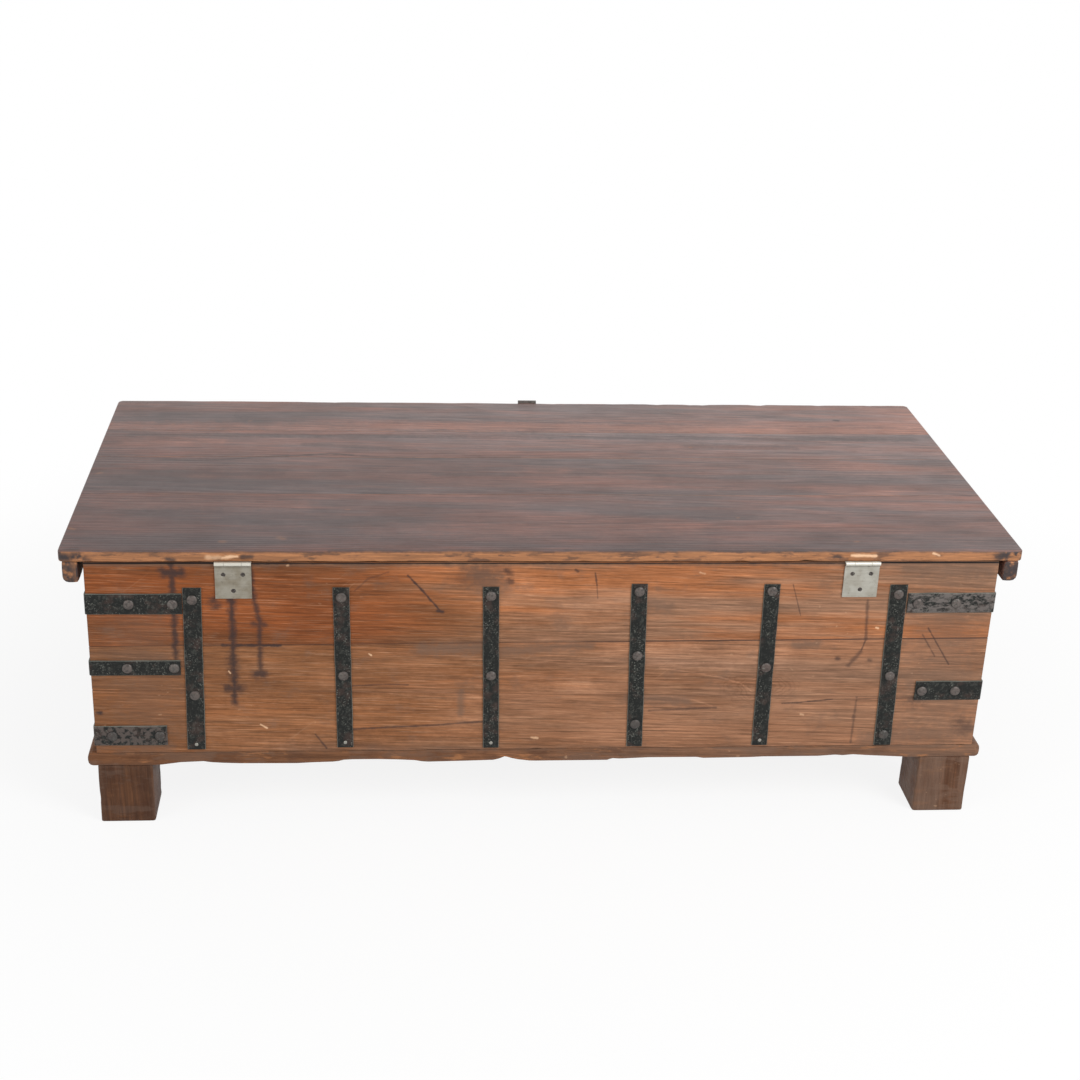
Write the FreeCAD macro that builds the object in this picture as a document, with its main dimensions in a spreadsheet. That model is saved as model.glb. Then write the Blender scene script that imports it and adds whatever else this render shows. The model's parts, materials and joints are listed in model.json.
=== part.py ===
import FreeCAD
import Part
import Sketcher
import math
import os
import re
from FreeCAD import Placement, Rotation, Vector

# Low plank chest on block feet: iron straps, bands round the ends, butt hinges and a hasp.
# Millimetres. +X runs along the chest, +Y from the hinge side to the hasp side, +Z up.
# Every piece is drawn with X from the middle of the lid, Y from the back wall's outer face and
# Z from the floor. Its Placement then moves it so that the origin is below the middle of the chest.

SIZES = (
    # lid
    ("lid_depth", 611),
    ("lid_thickness", 15),
    ("lid_corner_radius", 9),
    ("lid_edge_arris", 1.8),
    ("lid_plank_width_1", 205),
    ("lid_plank_width_2", 150),
    ("lid_plank_width_3", 115),
    ("plank_gap", 0.4),
    ("plank_arris", 0.8),
    ("cleat_width", 20.5),
    ("cleat_height", 30),
    ("cleat_inset", 5),
    ("cleat_clearance", 7.5),
    ("cleat_radius", 8),
    ("cleat_end_arris", 2),
    ("batten_width", 45),
    ("batten_thickness", 16),
    ("batten_hinge_gap", 82.5),
    ("batten_end_gap", 15),
    # chest
    ("box_length", 1254),
    ("front_overhang", 12),
    ("wall_thickness", 20),
    ("wall_height", 293),
    ("wall_corner_arris", 2.5),
    ("board_gap", 0.5),
    ("board_arris", 1.2),
    ("back_low_seam_left", 100),
    ("back_low_seam_right", 78),
    ("back_top_seam_left", 167),
    ("back_top_seam_right", 174),
    ("front_low_seam_left", 84),
    ("front_low_seam_right", 92),
    ("front_top_seam_left", 176),
    ("front_top_seam_right", 169),
    ("end_seam_height", 158),
    ("floor_thickness", 20),
    ("floor_back_width", 210),
    ("floor_middle_width", 190),
    ("ledge_reach", 13),
    ("ledge_radius", 7),
    ("ledge_corner_radius", 6),
    ("wear_height", 9),
    ("wear_reach", 20),
    ("foot_height", 92),
    ("foot_width", 76),
    ("foot_depth", 78),
    ("foot_arris", 2.5),
    ("centre_shift", 12),
    # straps and bands
    ("strap_thickness", 2),
    ("strap_width", 23),
    ("corner_strap_width", 25.5),
    ("strap_top_drop", 36),
    ("strap_foot_rise", 5),
    ("band_width", 31),
    ("narrow_band_width", 23),
    ("band_bend_radius", 3),
    ("left_top_band_height", 231.5),
    ("left_middle_band_height", 134.5),
    ("left_bottom_band_height", 28.5),
    ("right_top_band_height", 230),
    ("right_low_band_height", 90.5),
    ("left_top_band_gap", 0.8),
    ("left_middle_band_gap", 5.5),
    ("left_bottom_band_gap", 27),
    ("right_top_band_gap", 1.8),
    ("right_low_band_gap", 27),
    ("rivet_radius", 7.8),
    ("rivet_rise", 3.2),
    ("nail_radius", 2.6),
    ("nail_rise", 1),
    ("nail_inset", 8),
    ("spike_radius", 4),
    ("spike_rise", 1.2),
    ("spike_half_spacing", 10),
    # lid hinges
    ("left_hinge_strap_gap", 18.548),
    ("right_hinge_strap_gap", 18.307),
    ("hinge_width", 49),
    ("hinge_middle_knuckle", 23.4),
    ("hinge_leaf_reach", 51.5),
    ("hinge_leaf_thickness", 1.8),
    ("hinge_barrel_radius", 2.9),
    ("hinge_pin_radius", 1.5),
    ("hinge_row_drop", 16),
    ("hinge_row_half", 13),
    ("hinge_tip_drop", 40),
    ("hinge_screw_radius", 1.7),
    ("hinge_screw_length", 14),
    ("screw_head_rim", 0.2),
    ("recess_clearance", 0.2),
    ("knuckle_gap", 0.4),
    ("knuckle_side_gap", 0.3),
    ("pin_clearance", 0.05),
    ("screw_clearance", 0.05),
    # hasp and staple
    ("hasp_offset", 11),
    ("hasp_width", 30),
    ("hasp_middle_knuckle", 14),
    ("hasp_leaf_reach", 14),
    ("hasp_leaf_thickness", 2),
    ("hasp_barrel_radius", 3.2),
    ("hasp_pin_radius", 1.6),
    ("hasp_axis_rise", 0.5),
    ("hasp_fold_gap", 0.3),
    ("hasp_notch_gap", 0.4),
    ("hasp_row_drop", 9),
    ("hasp_row_half", 9),
    ("hasp_screw_radius", 1.5),
    ("hasp_screw_length", 14),
    ("hasp_strap_thickness", 2.2),
    ("hasp_strap_length", 70),
    ("hasp_tip_width", 23),
    ("hasp_tip_radius", 10),
    ("hasp_roll_radius", 2.4),
    ("hasp_roll_width", 13),
    ("hasp_rest_angle", 18.5),
    ("slot_drop", 50),
    ("slot_width", 9),
    ("slot_height", 28),
    ("slot_radius", 4),
    ("staple_wire_half", 2.5),
    ("staple_half_height", 8),
    ("staple_reach", 30),
    ("staple_leg", 16),
    # how far cutting shapes run past what they cut
    ("cut_overrun", 5),
)

# Small round pieces are cut with few flat sides, as the many hand-made heads need no more
HEAD_SIDES = 8
SCREW_SIDES = 12
HEAD_RING_SHARES = ((1, 0), (0.84, 0.55), (0.42, 1))
SINK_SHARE = 0.9
STAPLE_BEND_SHARE = 0.95

# Places of the upright straps, counted from the left: shares of the chest's length for X,
# of the top drop and of the foot rise for Z, and rivets as shares of the strap's own length.
STRAP_TOP_X_SHARES = (-0.387, -0.2277, -0.065, 0.0981, 0.2462, 0.3892)
STRAP_FOOT_X_SHARES = (-0.3896, -0.2243, -0.0604, 0.1035, 0.2484, 0.3927)
STRAP_TOP_DROP_SHARES = (1.04, 1.04, 1.03, 0.92, 0.94, 0.97)
STRAP_FOOT_RISE_SHARES = (1.2, 1.4, 0.8, 0.8, 0.8, 0.4)
STRAP_RIVET_SHARES = (
    (0.93, 0.345),
    (0.942, 0.459),
    (0.948, 0.46),
    (0.957, 0.57, 0.143),
    (0.961, 0.494),
    (0.945, 0.443, 0.07),
)

# Rivets on a band's leg as shares of the leg from the chest's corner, then across the chest's end.
BAND_RIVET_SHARES = {
    "left_top": (0.445, 0.9),
    "left_middle": (0.41, 0.93),
    "left_bottom": (0.24, 0.9),
    "right_top": (0.44, 0.883),
    "right_low": (0.396, 0.9),
}
END_RIVET_SHARES = (0.1, 0.5, 0.9)

# Worn lower edge of the floor's back board: shares of the chest's length and of the wear's height.
WEAR_SHARES = (
    (-0.4346, 0.33),
    (-0.4083, 0.49),
    (-0.3828, 0.64),
    (-0.3748, 0.44),
    (-0.3604, 0.29),
    (-0.3429, 0.19),
    (-0.2791, 0.1),
    (-0.2592, 0.23),
    (-0.2392, 0.3),
    (-0.2321, 0.4),
    (-0.2265, 0.62),
    (-0.2153, 0.69),
    (-0.1874, 0.68),
    (-0.1635, 0.56),
    (-0.1459, 0.41),
    (-0.1388, 0.2),
    (-0.1316, 0.11),
    (-0.0877, 0.22),
    (-0.0574, 0.32),
    (-0.0502, 0.56),
    (-0.0439, 0.98),
    (-0.0367, 0.62),
    (-0.0295, 0.38),
    (-0.0159, 0.12),
    (0.004, 0.01),
    (0.0319, 0.04),
    (0.0734, 0.07),
    (0.0789, 0.4),
    (0.0877, 0.3),
    (0.1212, 0.49),
    (0.177, 0.46),
    (0.1842, 0.27),
    (0.2408, 0.33),
    (0.2544, 0.42),
    (0.319, 0.42),
    (0.3389, 0.61),
    (0.3477, 0.5),
    (0.3604, 0.64),
    (0.3748, 0.48),
    (0.4346, 0.53),
)
CLEAT_NAIL_SHARES = (0.1, 0.37, 0.63, 0.9)
CLEAT_NAIL_X_SHARE = 0.3
BATTEN_NAIL_SHARES = (0.12, 0.5, 0.88)

# Planes that several pieces share, in the sheet's names
BOX_DEPTH = "(lid_depth - front_overhang)"
HALF_BOX = "(box_length / 2)"
HALF_LID = "(box_length / 2 + cleat_clearance + cleat_width + cleat_inset)"
WALL_BASE = "(foot_height + floor_thickness)"
LID_UNDER = "(foot_height + floor_thickness + wall_height)"
LID_TOP = "(foot_height + floor_thickness + wall_height + lid_thickness)"
HINGE_OUT = "(hinge_barrel_radius + knuckle_gap)"
HINGE_Z = f"({LID_UNDER} - hinge_leaf_thickness)"
HASP_Y = "(lid_depth + hasp_leaf_thickness + hasp_fold_gap)"
HASP_Z = f"({LID_TOP} + hasp_axis_rise)"
STAPLE_Z = f"({HASP_Z} - slot_drop)"
HINGE_STEP = "(corner_strap_width / 2 + hinge_width / 2)"
HINGE_X = {
    "left": f"({STRAP_TOP_X_SHARES[0]} * box_length + {HINGE_STEP} + left_hinge_strap_gap)",
    "right": f"({STRAP_TOP_X_SHARES[-1]} * box_length - {HINGE_STEP} - right_hinge_strap_gap)",
}
BATTEN_X = f"(-{HINGE_X['left']} - hinge_width / 2 - batten_hinge_gap - batten_width / 2)"

doc = FreeCAD.newDocument("chest")
dims = doc.addObject("Spreadsheet::Sheet", "dims")
for row, (word, number) in enumerate(SIZES, start=1):
    dims.set(f"A{row}", word)
    dims.set(f"B{row}", str(number))
    dims.setAlias(f"B{row}", word)
doc.recompute()

pieces = []


# Helpers: sheet names, bindings and sketches
def sheet_text(text):
    return re.sub(r"\b[a-z]+(?:_[a-z0-9]+)+\b", lambda found: "dims." + found.group(), text)


def size(text):
    return float(dims.evalExpression(sheet_text(text)))


def bind(thing, path, text):
    thing.setExpression(path, sheet_text(text))


def bind_base(thing, x="0", y="0", z="0"):
    for axis, text in zip("xyz", (x, y, z)):
        bind(thing, f"Placement.Base.{axis}", text)


def new_body(name):
    return doc.addObject("PartDesign::Body", name)


def keep(piece, label, x="0", y="0", z="0"):
    """Name a finished piece and move it into the chest's own frame."""
    piece.Label = label
    bind_base(piece, x, f"{y} - lid_depth / 2 - centre_shift", z)
    pieces.append(piece)
    return piece


def new_sketch(body, role, name, offset=None):
    sketch = body.newObject("Sketcher::SketchObject", name)
    plane = next(item for item in body.Origin.OriginFeatures if item.Role == role)
    sketch.AttachmentSupport = (plane, [""])
    sketch.MapMode = "FlatFace"
    if offset:
        bind(sketch, "AttachmentOffset.Base.z", offset)
    return sketch


def fix_point(sketch, item, spot, corner):
    for kind, text in zip(("DistanceX", "DistanceY"), corner):
        index = sketch.addConstraint(Sketcher.Constraint(kind, -1, 1, item, spot, size(text)))
        bind(sketch, f"Constraints[{index}]", text)


def draw_outlines(body, role, name, loops, offset=None):
    sketch = new_sketch(body, role, name, offset)
    for corners in loops:
        spots = [Vector(size(across), size(up), 0) for across, up in corners]
        stops = spots[1:] + spots[:1]
        items = [sketch.addGeometry(Part.LineSegment(*ends), False) for ends in zip(spots, stops)]
        for item, following in zip(items, items[1:] + items[:1]):
            sketch.addConstraint(Sketcher.Constraint("Coincident", item, 2, following, 1))
        for item, corner in zip(items, corners):
            fix_point(sketch, item, 1, corner)
    return sketch


def draw_outline(body, role, name, corners, offset=None):
    return draw_outlines(body, role, name, [corners], offset)


def draw_circle(body, role, name, centre, radius, offset=None):
    sketch = new_sketch(body, role, name, offset)
    spot = Vector(size(centre[0]), size(centre[1]), 0)
    item = sketch.addGeometry(Part.Circle(spot, Vector(0, 0, 1), size(radius)), False)
    index = sketch.addConstraint(Sketcher.Constraint("Radius", item, size(radius)))
    bind(sketch, f"Constraints[{index}]", radius)
    fix_point(sketch, item, 3, centre)
    return sketch


def rectangle(left, right, low, high):
    return [(left, low), (right, low), (right, high), (left, high)]


def turn_shares(sides):
    """Cosine and sine of each corner of a regular polygon."""
    turns = [2 * math.pi * corner / sides for corner in range(sides)]
    return [(round(math.cos(turn), 6), round(math.sin(turn), 6)) for turn in turns]


def screw_outline(centre, radius):
    """Corners of a screw, or of the hole for it."""
    across, up = centre
    return [(f"{across} + {a} * ({radius})", f"{up} + {b} * ({radius})") for a, b in turn_shares(SCREW_SIDES)]


# Helpers: features
def pad(body, name, sketch, length, reverse=False):
    feature = body.newObject("PartDesign::Pad", name)
    feature.Profile = sketch
    bind(feature, "Length", length)
    feature.Reversed = reverse
    return feature


def pocket(body, name, sketch, length, reverse=False):
    doc.recompute()
    before = body.Shape.Volume
    feature = body.newObject("PartDesign::Pocket", name)
    feature.Profile = sketch
    bind(feature, "Length", length)
    feature.Reversed = reverse
    doc.recompute()
    if not feature.Shape.Volume < before:
        raise RuntimeError(f"{body.Name}: {name} cuts nothing")
    return feature


def dress(body, kind, name, amount, wanted):
    """Fillet or chamfer the edges of the body's tip whose middle point passes the test."""
    doc.recompute()
    tip = body.Tip
    picked = []
    for number, edge in enumerate(tip.Shape.Edges, start=1):
        middle = edge.valueAt((edge.FirstParameter + edge.LastParameter) / 2)
        if wanted(middle, edge):
            picked.append(f"Edge{number}")
    if not picked:
        raise RuntimeError(f"{body.Name}: {name} found no edge")
    feature = body.newObject(f"PartDesign::{kind}", name)
    feature.Base = (tip, picked)
    bind(feature, "Radius" if kind == "Fillet" else "Size", amount)
    return feature


def near(value, text):
    return abs(value - size(text)) < size("pin_clearance")


def runs_along(edge, axis):
    span = edge.Vertexes[-1].Point - edge.Vertexes[0].Point
    return edge.Length > 0 and abs(span.dot(axis)) > 0.99 * edge.Length


ALONG = Vector(1, 0, 0)
DEEP = Vector(0, 1, 0)
UP = Vector(0, 0, 1)


# Chest walls: boards along the back and the front, with sloping seams
def wall_board(side, level):
    seams = {"bottom": (None, "low"), "middle": ("low", "top"), "top": ("top", None)}
    below, above = seams[level]

    def height(seam, end, flush, shift):
        if seam is None:
            return f"{WALL_BASE} + {flush}"
        return f"{WALL_BASE} + {side}_{seam}_seam_{end} {shift} board_gap / 2"

    corners = [
        (f"-{HALF_BOX}", height(below, "left", "0", "+")),
        (HALF_BOX, height(below, "right", "0", "+")),
        (HALF_BOX, height(above, "right", "wall_height", "-")),
        (f"-{HALF_BOX}", height(above, "left", "wall_height", "-")),
    ]
    body = new_body(f"{side}_board_{level}")
    face = "0" if side == "back" else BOX_DEPTH
    sketch = draw_outline(body, "XZ_Plane", f"{body.Name}_outline", corners, f"-{face}")
    pad(body, f"{body.Name}_pad", sketch, "wall_thickness", reverse=side == "back")

    def at_corner(middle, edge):
        return near(middle.y, face) and near(abs(middle.x), HALF_BOX) and edge.Length < size("wall_height")

    dress(body, "Chamfer", f"{body.Name}_corners", "wall_corner_arris", at_corner)

    def long_edge(middle, edge):
        return near(middle.y, face) and edge.Length > size(HALF_BOX)

    dress(body, "Chamfer", f"{body.Name}_arris", "board_arris", long_edge)
    return body


def cut_hinge_seats(body):
    """Recesses for the lid's hinge leaves in the rim, and pilot holes for the chest's leaves."""
    low = f"{HINGE_Z} - recess_clearance"
    high = f"{LID_UNDER} + cut_overrun"
    for end, middle in HINGE_X.items():
        left = f"{middle} - hinge_width / 2 - recess_clearance"
        right = f"{middle} + hinge_width / 2 + recess_clearance"
        corners = rectangle(left, right, low, high)
        sketch = draw_outline(body, "XZ_Plane", f"{end}_recess_outline", corners, "cut_overrun")
        pocket(body, f"{end}_recess", sketch, "wall_thickness + 2 * cut_overrun")
    radius = "hinge_screw_radius + screw_clearance"
    holes = [screw_outline((x, f"{HINGE_Z} - {drop}"), radius) for x, drop in hinge_holes()]
    sketch = draw_outlines(body, "XZ_Plane", "back_pilot_outlines", holes)
    pocket(body, "back_pilot_holes", sketch, "hinge_screw_length - hinge_leaf_thickness + screw_clearance")


def hinge_holes():
    """X place and drop from the pin's axis of every screw of both hinges."""
    spots = []
    for middle in HINGE_X.values():
        spots.append((f"{middle} - hinge_row_half", "hinge_row_drop"))
        spots.append((f"{middle} + hinge_row_half", "hinge_row_drop"))
        spots.append((middle, "hinge_tip_drop"))
    return spots


def staple_hole(level):
    half = "(staple_wire_half + screw_clearance)"
    left, right = f"hasp_offset - {half}", f"hasp_offset + {half}"
    return rectangle(left, right, f"{level} - {half}", f"{level} + {half}")


for side in ("back", "front"):
    for level in ("bottom", "middle", "top"):
        board = wall_board(side, level)
        if board.Name == "back_board_top":
            cut_hinge_seats(board)
        if board.Name == "front_board_top":
            legs = [staple_hole(f"({STAPLE_Z} {sign} staple_half_height)") for sign in "+-"]
            sketch = draw_outlines(board, "XZ_Plane", "staple_outlines", legs, f"-{BOX_DEPTH}")
            pocket(board, "staple_holes", sketch, "staple_leg + screw_clearance", reverse=True)
        keep(board, board.Name)


# Chest ends: two boards each, between the back and the front walls
def end_board(side, level):
    low = WALL_BASE if level == "bottom" else f"{WALL_BASE} + end_seam_height + board_gap / 2"
    high = LID_UNDER if level == "top" else f"{WALL_BASE} + end_seam_height - board_gap / 2"
    corners = rectangle("wall_thickness", f"{BOX_DEPTH} - wall_thickness", low, high)
    outer = f"-{HALF_BOX}" if side == "left" else HALF_BOX
    body = new_body(f"{side}_end_board_{level}")
    sketch = draw_outline(body, "YZ_Plane", f"{body.Name}_outline", corners, outer)
    pad(body, f"{body.Name}_pad", sketch, "wall_thickness", reverse=side == "right")

    def long_edge(middle, edge):
        return near(middle.x, outer) and runs_along(edge, DEEP)

    dress(body, "Chamfer", f"{body.Name}_arris", "board_arris", long_edge)
    return keep(body, body.Name)


for side in ("left", "right"):
    for level in ("bottom", "top"):
        end_board(side, level)


# Floor: three long boards whose ends and front stand out as a rounded ledge
def floor_board(name, near_side, far_side):
    half = f"({HALF_BOX} + ledge_reach)"
    body = new_body(name)
    corners = rectangle(f"-{half}", half, near_side, far_side)
    sketch = draw_outline(body, "XY_Plane", f"{name}_outline", corners, "foot_height")
    pad(body, f"{name}_pad", sketch, "floor_thickness")
    is_front = name == "floor_board_front"

    if is_front:

        def plan_corner(middle, edge):
            return near(middle.y, far_side) and runs_along(edge, UP)

        dress(body, "Fillet", f"{name}_plan_corners", "ledge_corner_radius", plan_corner)

    def nose(middle, edge):
        level = not runs_along(edge, UP)
        at_end = near(abs(middle.x), half) and runs_along(edge, DEEP)
        return level and (at_end or (is_front and near(middle.y, far_side)))

    dress(body, "Fillet", f"{name}_nose", "ledge_radius", nose)
    return body


FLOOR_SEAMS = (
    "0",
    "floor_back_width",
    "(floor_back_width + floor_middle_width)",
    f"({BOX_DEPTH} + ledge_reach)",
)
for number, place in enumerate(("back", "middle", "front")):
    start = FLOOR_SEAMS[number] if number == 0 else f"{FLOOR_SEAMS[number]} + board_gap / 2"
    stop = FLOOR_SEAMS[number + 1] if number == 2 else f"{FLOOR_SEAMS[number + 1]} - board_gap / 2"
    board = floor_board(f"floor_board_{place}", start, stop)
    if place == "back":
        under = [(f"{x} * box_length", f"foot_height + {z} * wear_height") for x, z in WEAR_SHARES]
        first, last = WEAR_SHARES[0][0], WEAR_SHARES[-1][0]
        base = "foot_height - cut_overrun"
        corners = [(f"{first} * box_length", base)] + under + [(f"{last} * box_length", base)]
        sketch = draw_outline(board, "XZ_Plane", "wear_outline", corners)
        pocket(board, "wear", sketch, "wear_reach")
    keep(board, board.Name)


# Feet: plain blocks flush with the chest's faces
def foot(depth_side, side):
    outer, inner = f"-{HALF_BOX}", f"(foot_width - {HALF_BOX})"
    if side == "right":
        outer, inner = f"({HALF_BOX} - foot_width)", HALF_BOX
    start, stop = "0", "foot_depth"
    if depth_side == "front":
        start, stop = f"({BOX_DEPTH} - foot_depth)", BOX_DEPTH
    body = new_body(f"foot_{depth_side}_{side}")
    sketch = draw_outline(body, "XY_Plane", f"{body.Name}_outline", rectangle(outer, inner, start, stop))
    pad(body, f"{body.Name}_pad", sketch, "foot_height")

    def worn(middle, edge):
        return runs_along(edge, UP) or near(middle.z, "0")

    dress(body, "Chamfer", f"{body.Name}_arris", "foot_arris", worn)
    return keep(body, body.Name)


for depth_side in ("back", "front"):
    for side in ("left", "right"):
        foot(depth_side, side)


# Upright straps on the back and the front
def strap_ends(number):
    """X and Z of the middle of a strap's foot and top."""
    foot_spot = (
        f"({STRAP_FOOT_X_SHARES[number]} * box_length)",
        f"({WALL_BASE} + {STRAP_FOOT_RISE_SHARES[number]} * strap_foot_rise)",
    )
    top_spot = (
        f"({STRAP_TOP_X_SHARES[number]} * box_length)",
        f"({LID_UNDER} - {STRAP_TOP_DROP_SHARES[number]} * strap_top_drop)",
    )
    return foot_spot, top_spot


def strap_wide(number):
    return "corner_strap_width" if number in (0, len(STRAP_TOP_X_SHARES) - 1) else "strap_width"


def strap(side, number):
    (foot_x, foot_z), (top_x, top_z) = strap_ends(number)
    half = f"{strap_wide(number)} / 2"
    corners = [
        (f"{foot_x} - {half}", foot_z),
        (f"{foot_x} + {half}", foot_z),
        (f"{top_x} + {half}", top_z),
        (f"{top_x} - {half}", top_z),
    ]
    body = new_body(f"{side}_strap_{number + 1}")
    offset = None if side == "back" else f"-{BOX_DEPTH}"
    sketch = draw_outline(body, "XZ_Plane", f"{body.Name}_outline", corners, offset)
    pad(body, f"{body.Name}_pad", sketch, "strap_thickness", reverse=side == "front")
    return keep(body, body.Name)


for side in ("back", "front"):
    for number in range(len(STRAP_TOP_X_SHARES)):
        strap(side, number)


# Bands: one bent strip each, from the back round the end to the front
def band_end(name):
    """X where a band stops, a named gap short of the corner strap's edge at the band's height."""
    is_left = name.startswith("left")
    number = 0 if is_left else len(STRAP_TOP_X_SHARES) - 1
    (foot_x, foot_z), (top_x, top_z) = strap_ends(number)
    rise = f"({WALL_BASE} + {name}_band_height - {foot_z}) / ({top_z} - {foot_z})"
    middle = f"({foot_x} + ({top_x} - {foot_x}) * {rise})"
    sign = "-" if is_left else "+"
    return f"({middle} {sign} corner_strap_width / 2 {sign} {name}_band_gap)"


def band_tall(name):
    return "narrow_band_width" if name == "left_middle" else "band_width"


def band(name):
    sign = "-" if name.startswith("left") else ""
    stop = band_end(name)
    inner = f"{sign}{HALF_BOX}"
    outer = f"{sign}({HALF_BOX} + strap_thickness)"
    corners = [
        (stop, "-strap_thickness"),
        (outer, "-strap_thickness"),
        (outer, f"{BOX_DEPTH} + strap_thickness"),
        (stop, f"{BOX_DEPTH} + strap_thickness"),
        (stop, BOX_DEPTH),
        (inner, BOX_DEPTH),
        (inner, "0"),
        (stop, "0"),
    ]
    body = new_body(f"end_band_{name}")
    low = f"{WALL_BASE} + {name}_band_height - {band_tall(name)} / 2"
    sketch = draw_outline(body, "XY_Plane", f"{body.Name}_outline", corners, low)
    pad(body, f"{body.Name}_pad", sketch, band_tall(name))

    def bend(wanted):
        return lambda middle, edge: near(middle.x, wanted) and runs_along(edge, UP)

    dress(body, "Fillet", f"{body.Name}_outer_bends", "band_bend_radius", bend(outer))
    dress(body, "Fillet", f"{body.Name}_inner_bends", "band_bend_radius - strap_thickness", bend(inner))
    return keep(body, body.Name)


for name in BAND_RIVET_SHARES:
    band(name)


# Rivets, nails and spikes: groups of heads, each seated on the piece that it holds
def head_ring(spot, outward, radius):
    """Corners of a polygon about the head's axis, seen from outside in counter-clockwise order."""
    across = UP.cross(outward) if abs(outward.z) < 0.5 else ALONG
    up = outward.cross(across)
    return [spot + (across * a + up * b) * radius for a, b in turn_shares(HEAD_SIDES)]


def face_of(corners):
    return Part.Face(Part.makePolygon(corners + corners[:1]))


def forged_head(spot, outward):
    """A low dome with hammered facets."""
    rings = []
    for wide_share, rise_share in HEAD_RING_SHARES:
        middle = spot + outward * (rise_share * size("rivet_rise"))
        rings.append(head_ring(middle, outward, wide_share * size("rivet_radius")))
    faces = [face_of(rings[0][::-1]), face_of(rings[-1])]
    for lower, upper in zip(rings, rings[1:]):
        for side in range(HEAD_SIDES):
            following = (side + 1) % HEAD_SIDES
            faces.append(face_of([lower[side], lower[following], upper[following], upper[side]]))
    return Part.Solid(Part.Shell(faces))


def flat_head(kind):
    def head(spot, outward):
        seat = face_of(head_ring(spot, outward, size(f"{kind}_radius")))
        return seat.extrude(outward * size(f"{kind}_rise"))

    return head


def group(label, head, spots):
    feature = doc.addObject("Part::Feature", label)
    feature.Shape = Part.makeCompound([head(spot, outward) for spot, outward in spots])
    return keep(feature, label)


def strap_spot(number, share, face):
    (foot_x, foot_z), (top_x, top_z) = strap_ends(number)
    start = Vector(size(foot_x), face, size(foot_z))
    stop = Vector(size(top_x), face, size(top_z))
    return start + (stop - start) * share


def leg_spots(name, face):
    corner = size(f"-{HALF_BOX}" if name.startswith("left") else HALF_BOX)
    length = size(band_end(name)) - corner
    level = size(f"{WALL_BASE} + {name}_band_height")
    return [Vector(corner + share * length, face, level) for share in BAND_RIVET_SHARES[name]]


def end_spots(name):
    sign = -1 if name.startswith("left") else 1
    outward = ALONG * sign
    across = sign * size(f"{HALF_BOX} + strap_thickness")
    level = size(f"{WALL_BASE} + {name}_band_height")
    return [(Vector(across, share * size(BOX_DEPTH), level), outward) for share in END_RIVET_SHARES]


def face_rivets(face, outward):
    spots = []
    for number, shares in enumerate(STRAP_RIVET_SHARES):
        spots += [(strap_spot(number, share, face), outward) for share in shares]
    for name in BAND_RIVET_SHARES:
        spots += [(spot, outward) for spot in leg_spots(name, face)]
    return spots


def face_nails(face, outward):
    spots = []
    for number, shares in enumerate(STRAP_RIVET_SHARES):
        (_, foot_z), (_, top_z) = strap_ends(number)
        share = size("nail_inset") / size(f"{top_z} - {foot_z}")
        if len(shares) == 2:
            spots.append((strap_spot(number, share, face), outward))
    return spots


FACES = {
    "back": (size("-strap_thickness"), -DEEP),
    "front": (size(f"{BOX_DEPTH} + strap_thickness"), DEEP),
}
for side, (face, outward) in FACES.items():
    group(f"rivets_{side}", forged_head, face_rivets(face, outward))
group("rivets_ends", forged_head, [spot for name in BAND_RIVET_SHARES for spot in end_spots(name)])
group("strap_nails", flat_head("nail"), face_nails(*FACES["back"]) + face_nails(*FACES["front"]))

spikes = []
for x_sign in (-1, 1):
    for depth in ("(wall_thickness + foot_depth) / 2", f"{BOX_DEPTH} - (wall_thickness + foot_depth) / 2"):
        for step in (-1, 1):
            across = size(f"{HALF_BOX} - (wall_thickness + foot_width) / 2 + {step} * spike_half_spacing")
            spikes.append((Vector(x_sign * across, size(depth), size(WALL_BASE)), UP))
group("foot_spikes", flat_head("spike"), spikes)


# Lid: four planks, a cleat under each end and two battens inside
LID_SEAMS = (
    "0",
    "lid_plank_width_1",
    "(lid_plank_width_1 + lid_plank_width_2)",
    "(lid_plank_width_1 + lid_plank_width_2 + lid_plank_width_3)",
    "lid_depth",
)


def lid_plank(number):
    last = len(LID_SEAMS) - 1
    near_side = LID_SEAMS[number - 1] if number == 1 else f"{LID_SEAMS[number - 1]} + plank_gap / 2"
    far_side = LID_SEAMS[number] if number == last else f"{LID_SEAMS[number]} - plank_gap / 2"
    body = new_body(f"lid_plank_{number}")
    half = HALF_LID
    corners = rectangle(f"-{half}", half, near_side, far_side)
    sketch = draw_outline(body, "XY_Plane", f"{body.Name}_outline", corners, LID_UNDER)
    pad(body, f"{body.Name}_pad", sketch, "lid_thickness")
    outer_side = {1: near_side, last: far_side}.get(number)
    seams = [side for side in (near_side, far_side) if side != outer_side]

    if outer_side is not None:

        def plan_corner(middle, edge):
            return near(middle.y, outer_side) and runs_along(edge, UP)

        dress(body, "Fillet", f"{body.Name}_corners", "lid_corner_radius", plan_corner)

    def rim(middle, edge):
        at_end = near(abs(middle.x), half) and runs_along(edge, DEEP)
        at_side = outer_side is not None and near(middle.y, outer_side)
        return not runs_along(edge, UP) and (at_end or at_side)

    dress(body, "Chamfer", f"{body.Name}_rim", "lid_edge_arris", rim)

    def seam_edge(middle, edge):
        return near(middle.z, LID_TOP) and any(near(middle.y, seam) for seam in seams)

    dress(body, "Chamfer", f"{body.Name}_arris", "plank_arris", seam_edge)
    return body


def cut_lid_leaf_holes(body):
    radius = "hinge_screw_radius + screw_clearance"
    holes = [screw_outline((x, f"{drop} - {HINGE_OUT}"), radius) for x, drop in hinge_holes()]
    sketch = draw_outlines(body, "XY_Plane", "lid_pilot_outlines", holes, LID_UNDER)
    depth = "hinge_screw_length - hinge_leaf_thickness + screw_clearance"
    pocket(body, "lid_pilot_holes", sketch, depth, reverse=True)


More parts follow.
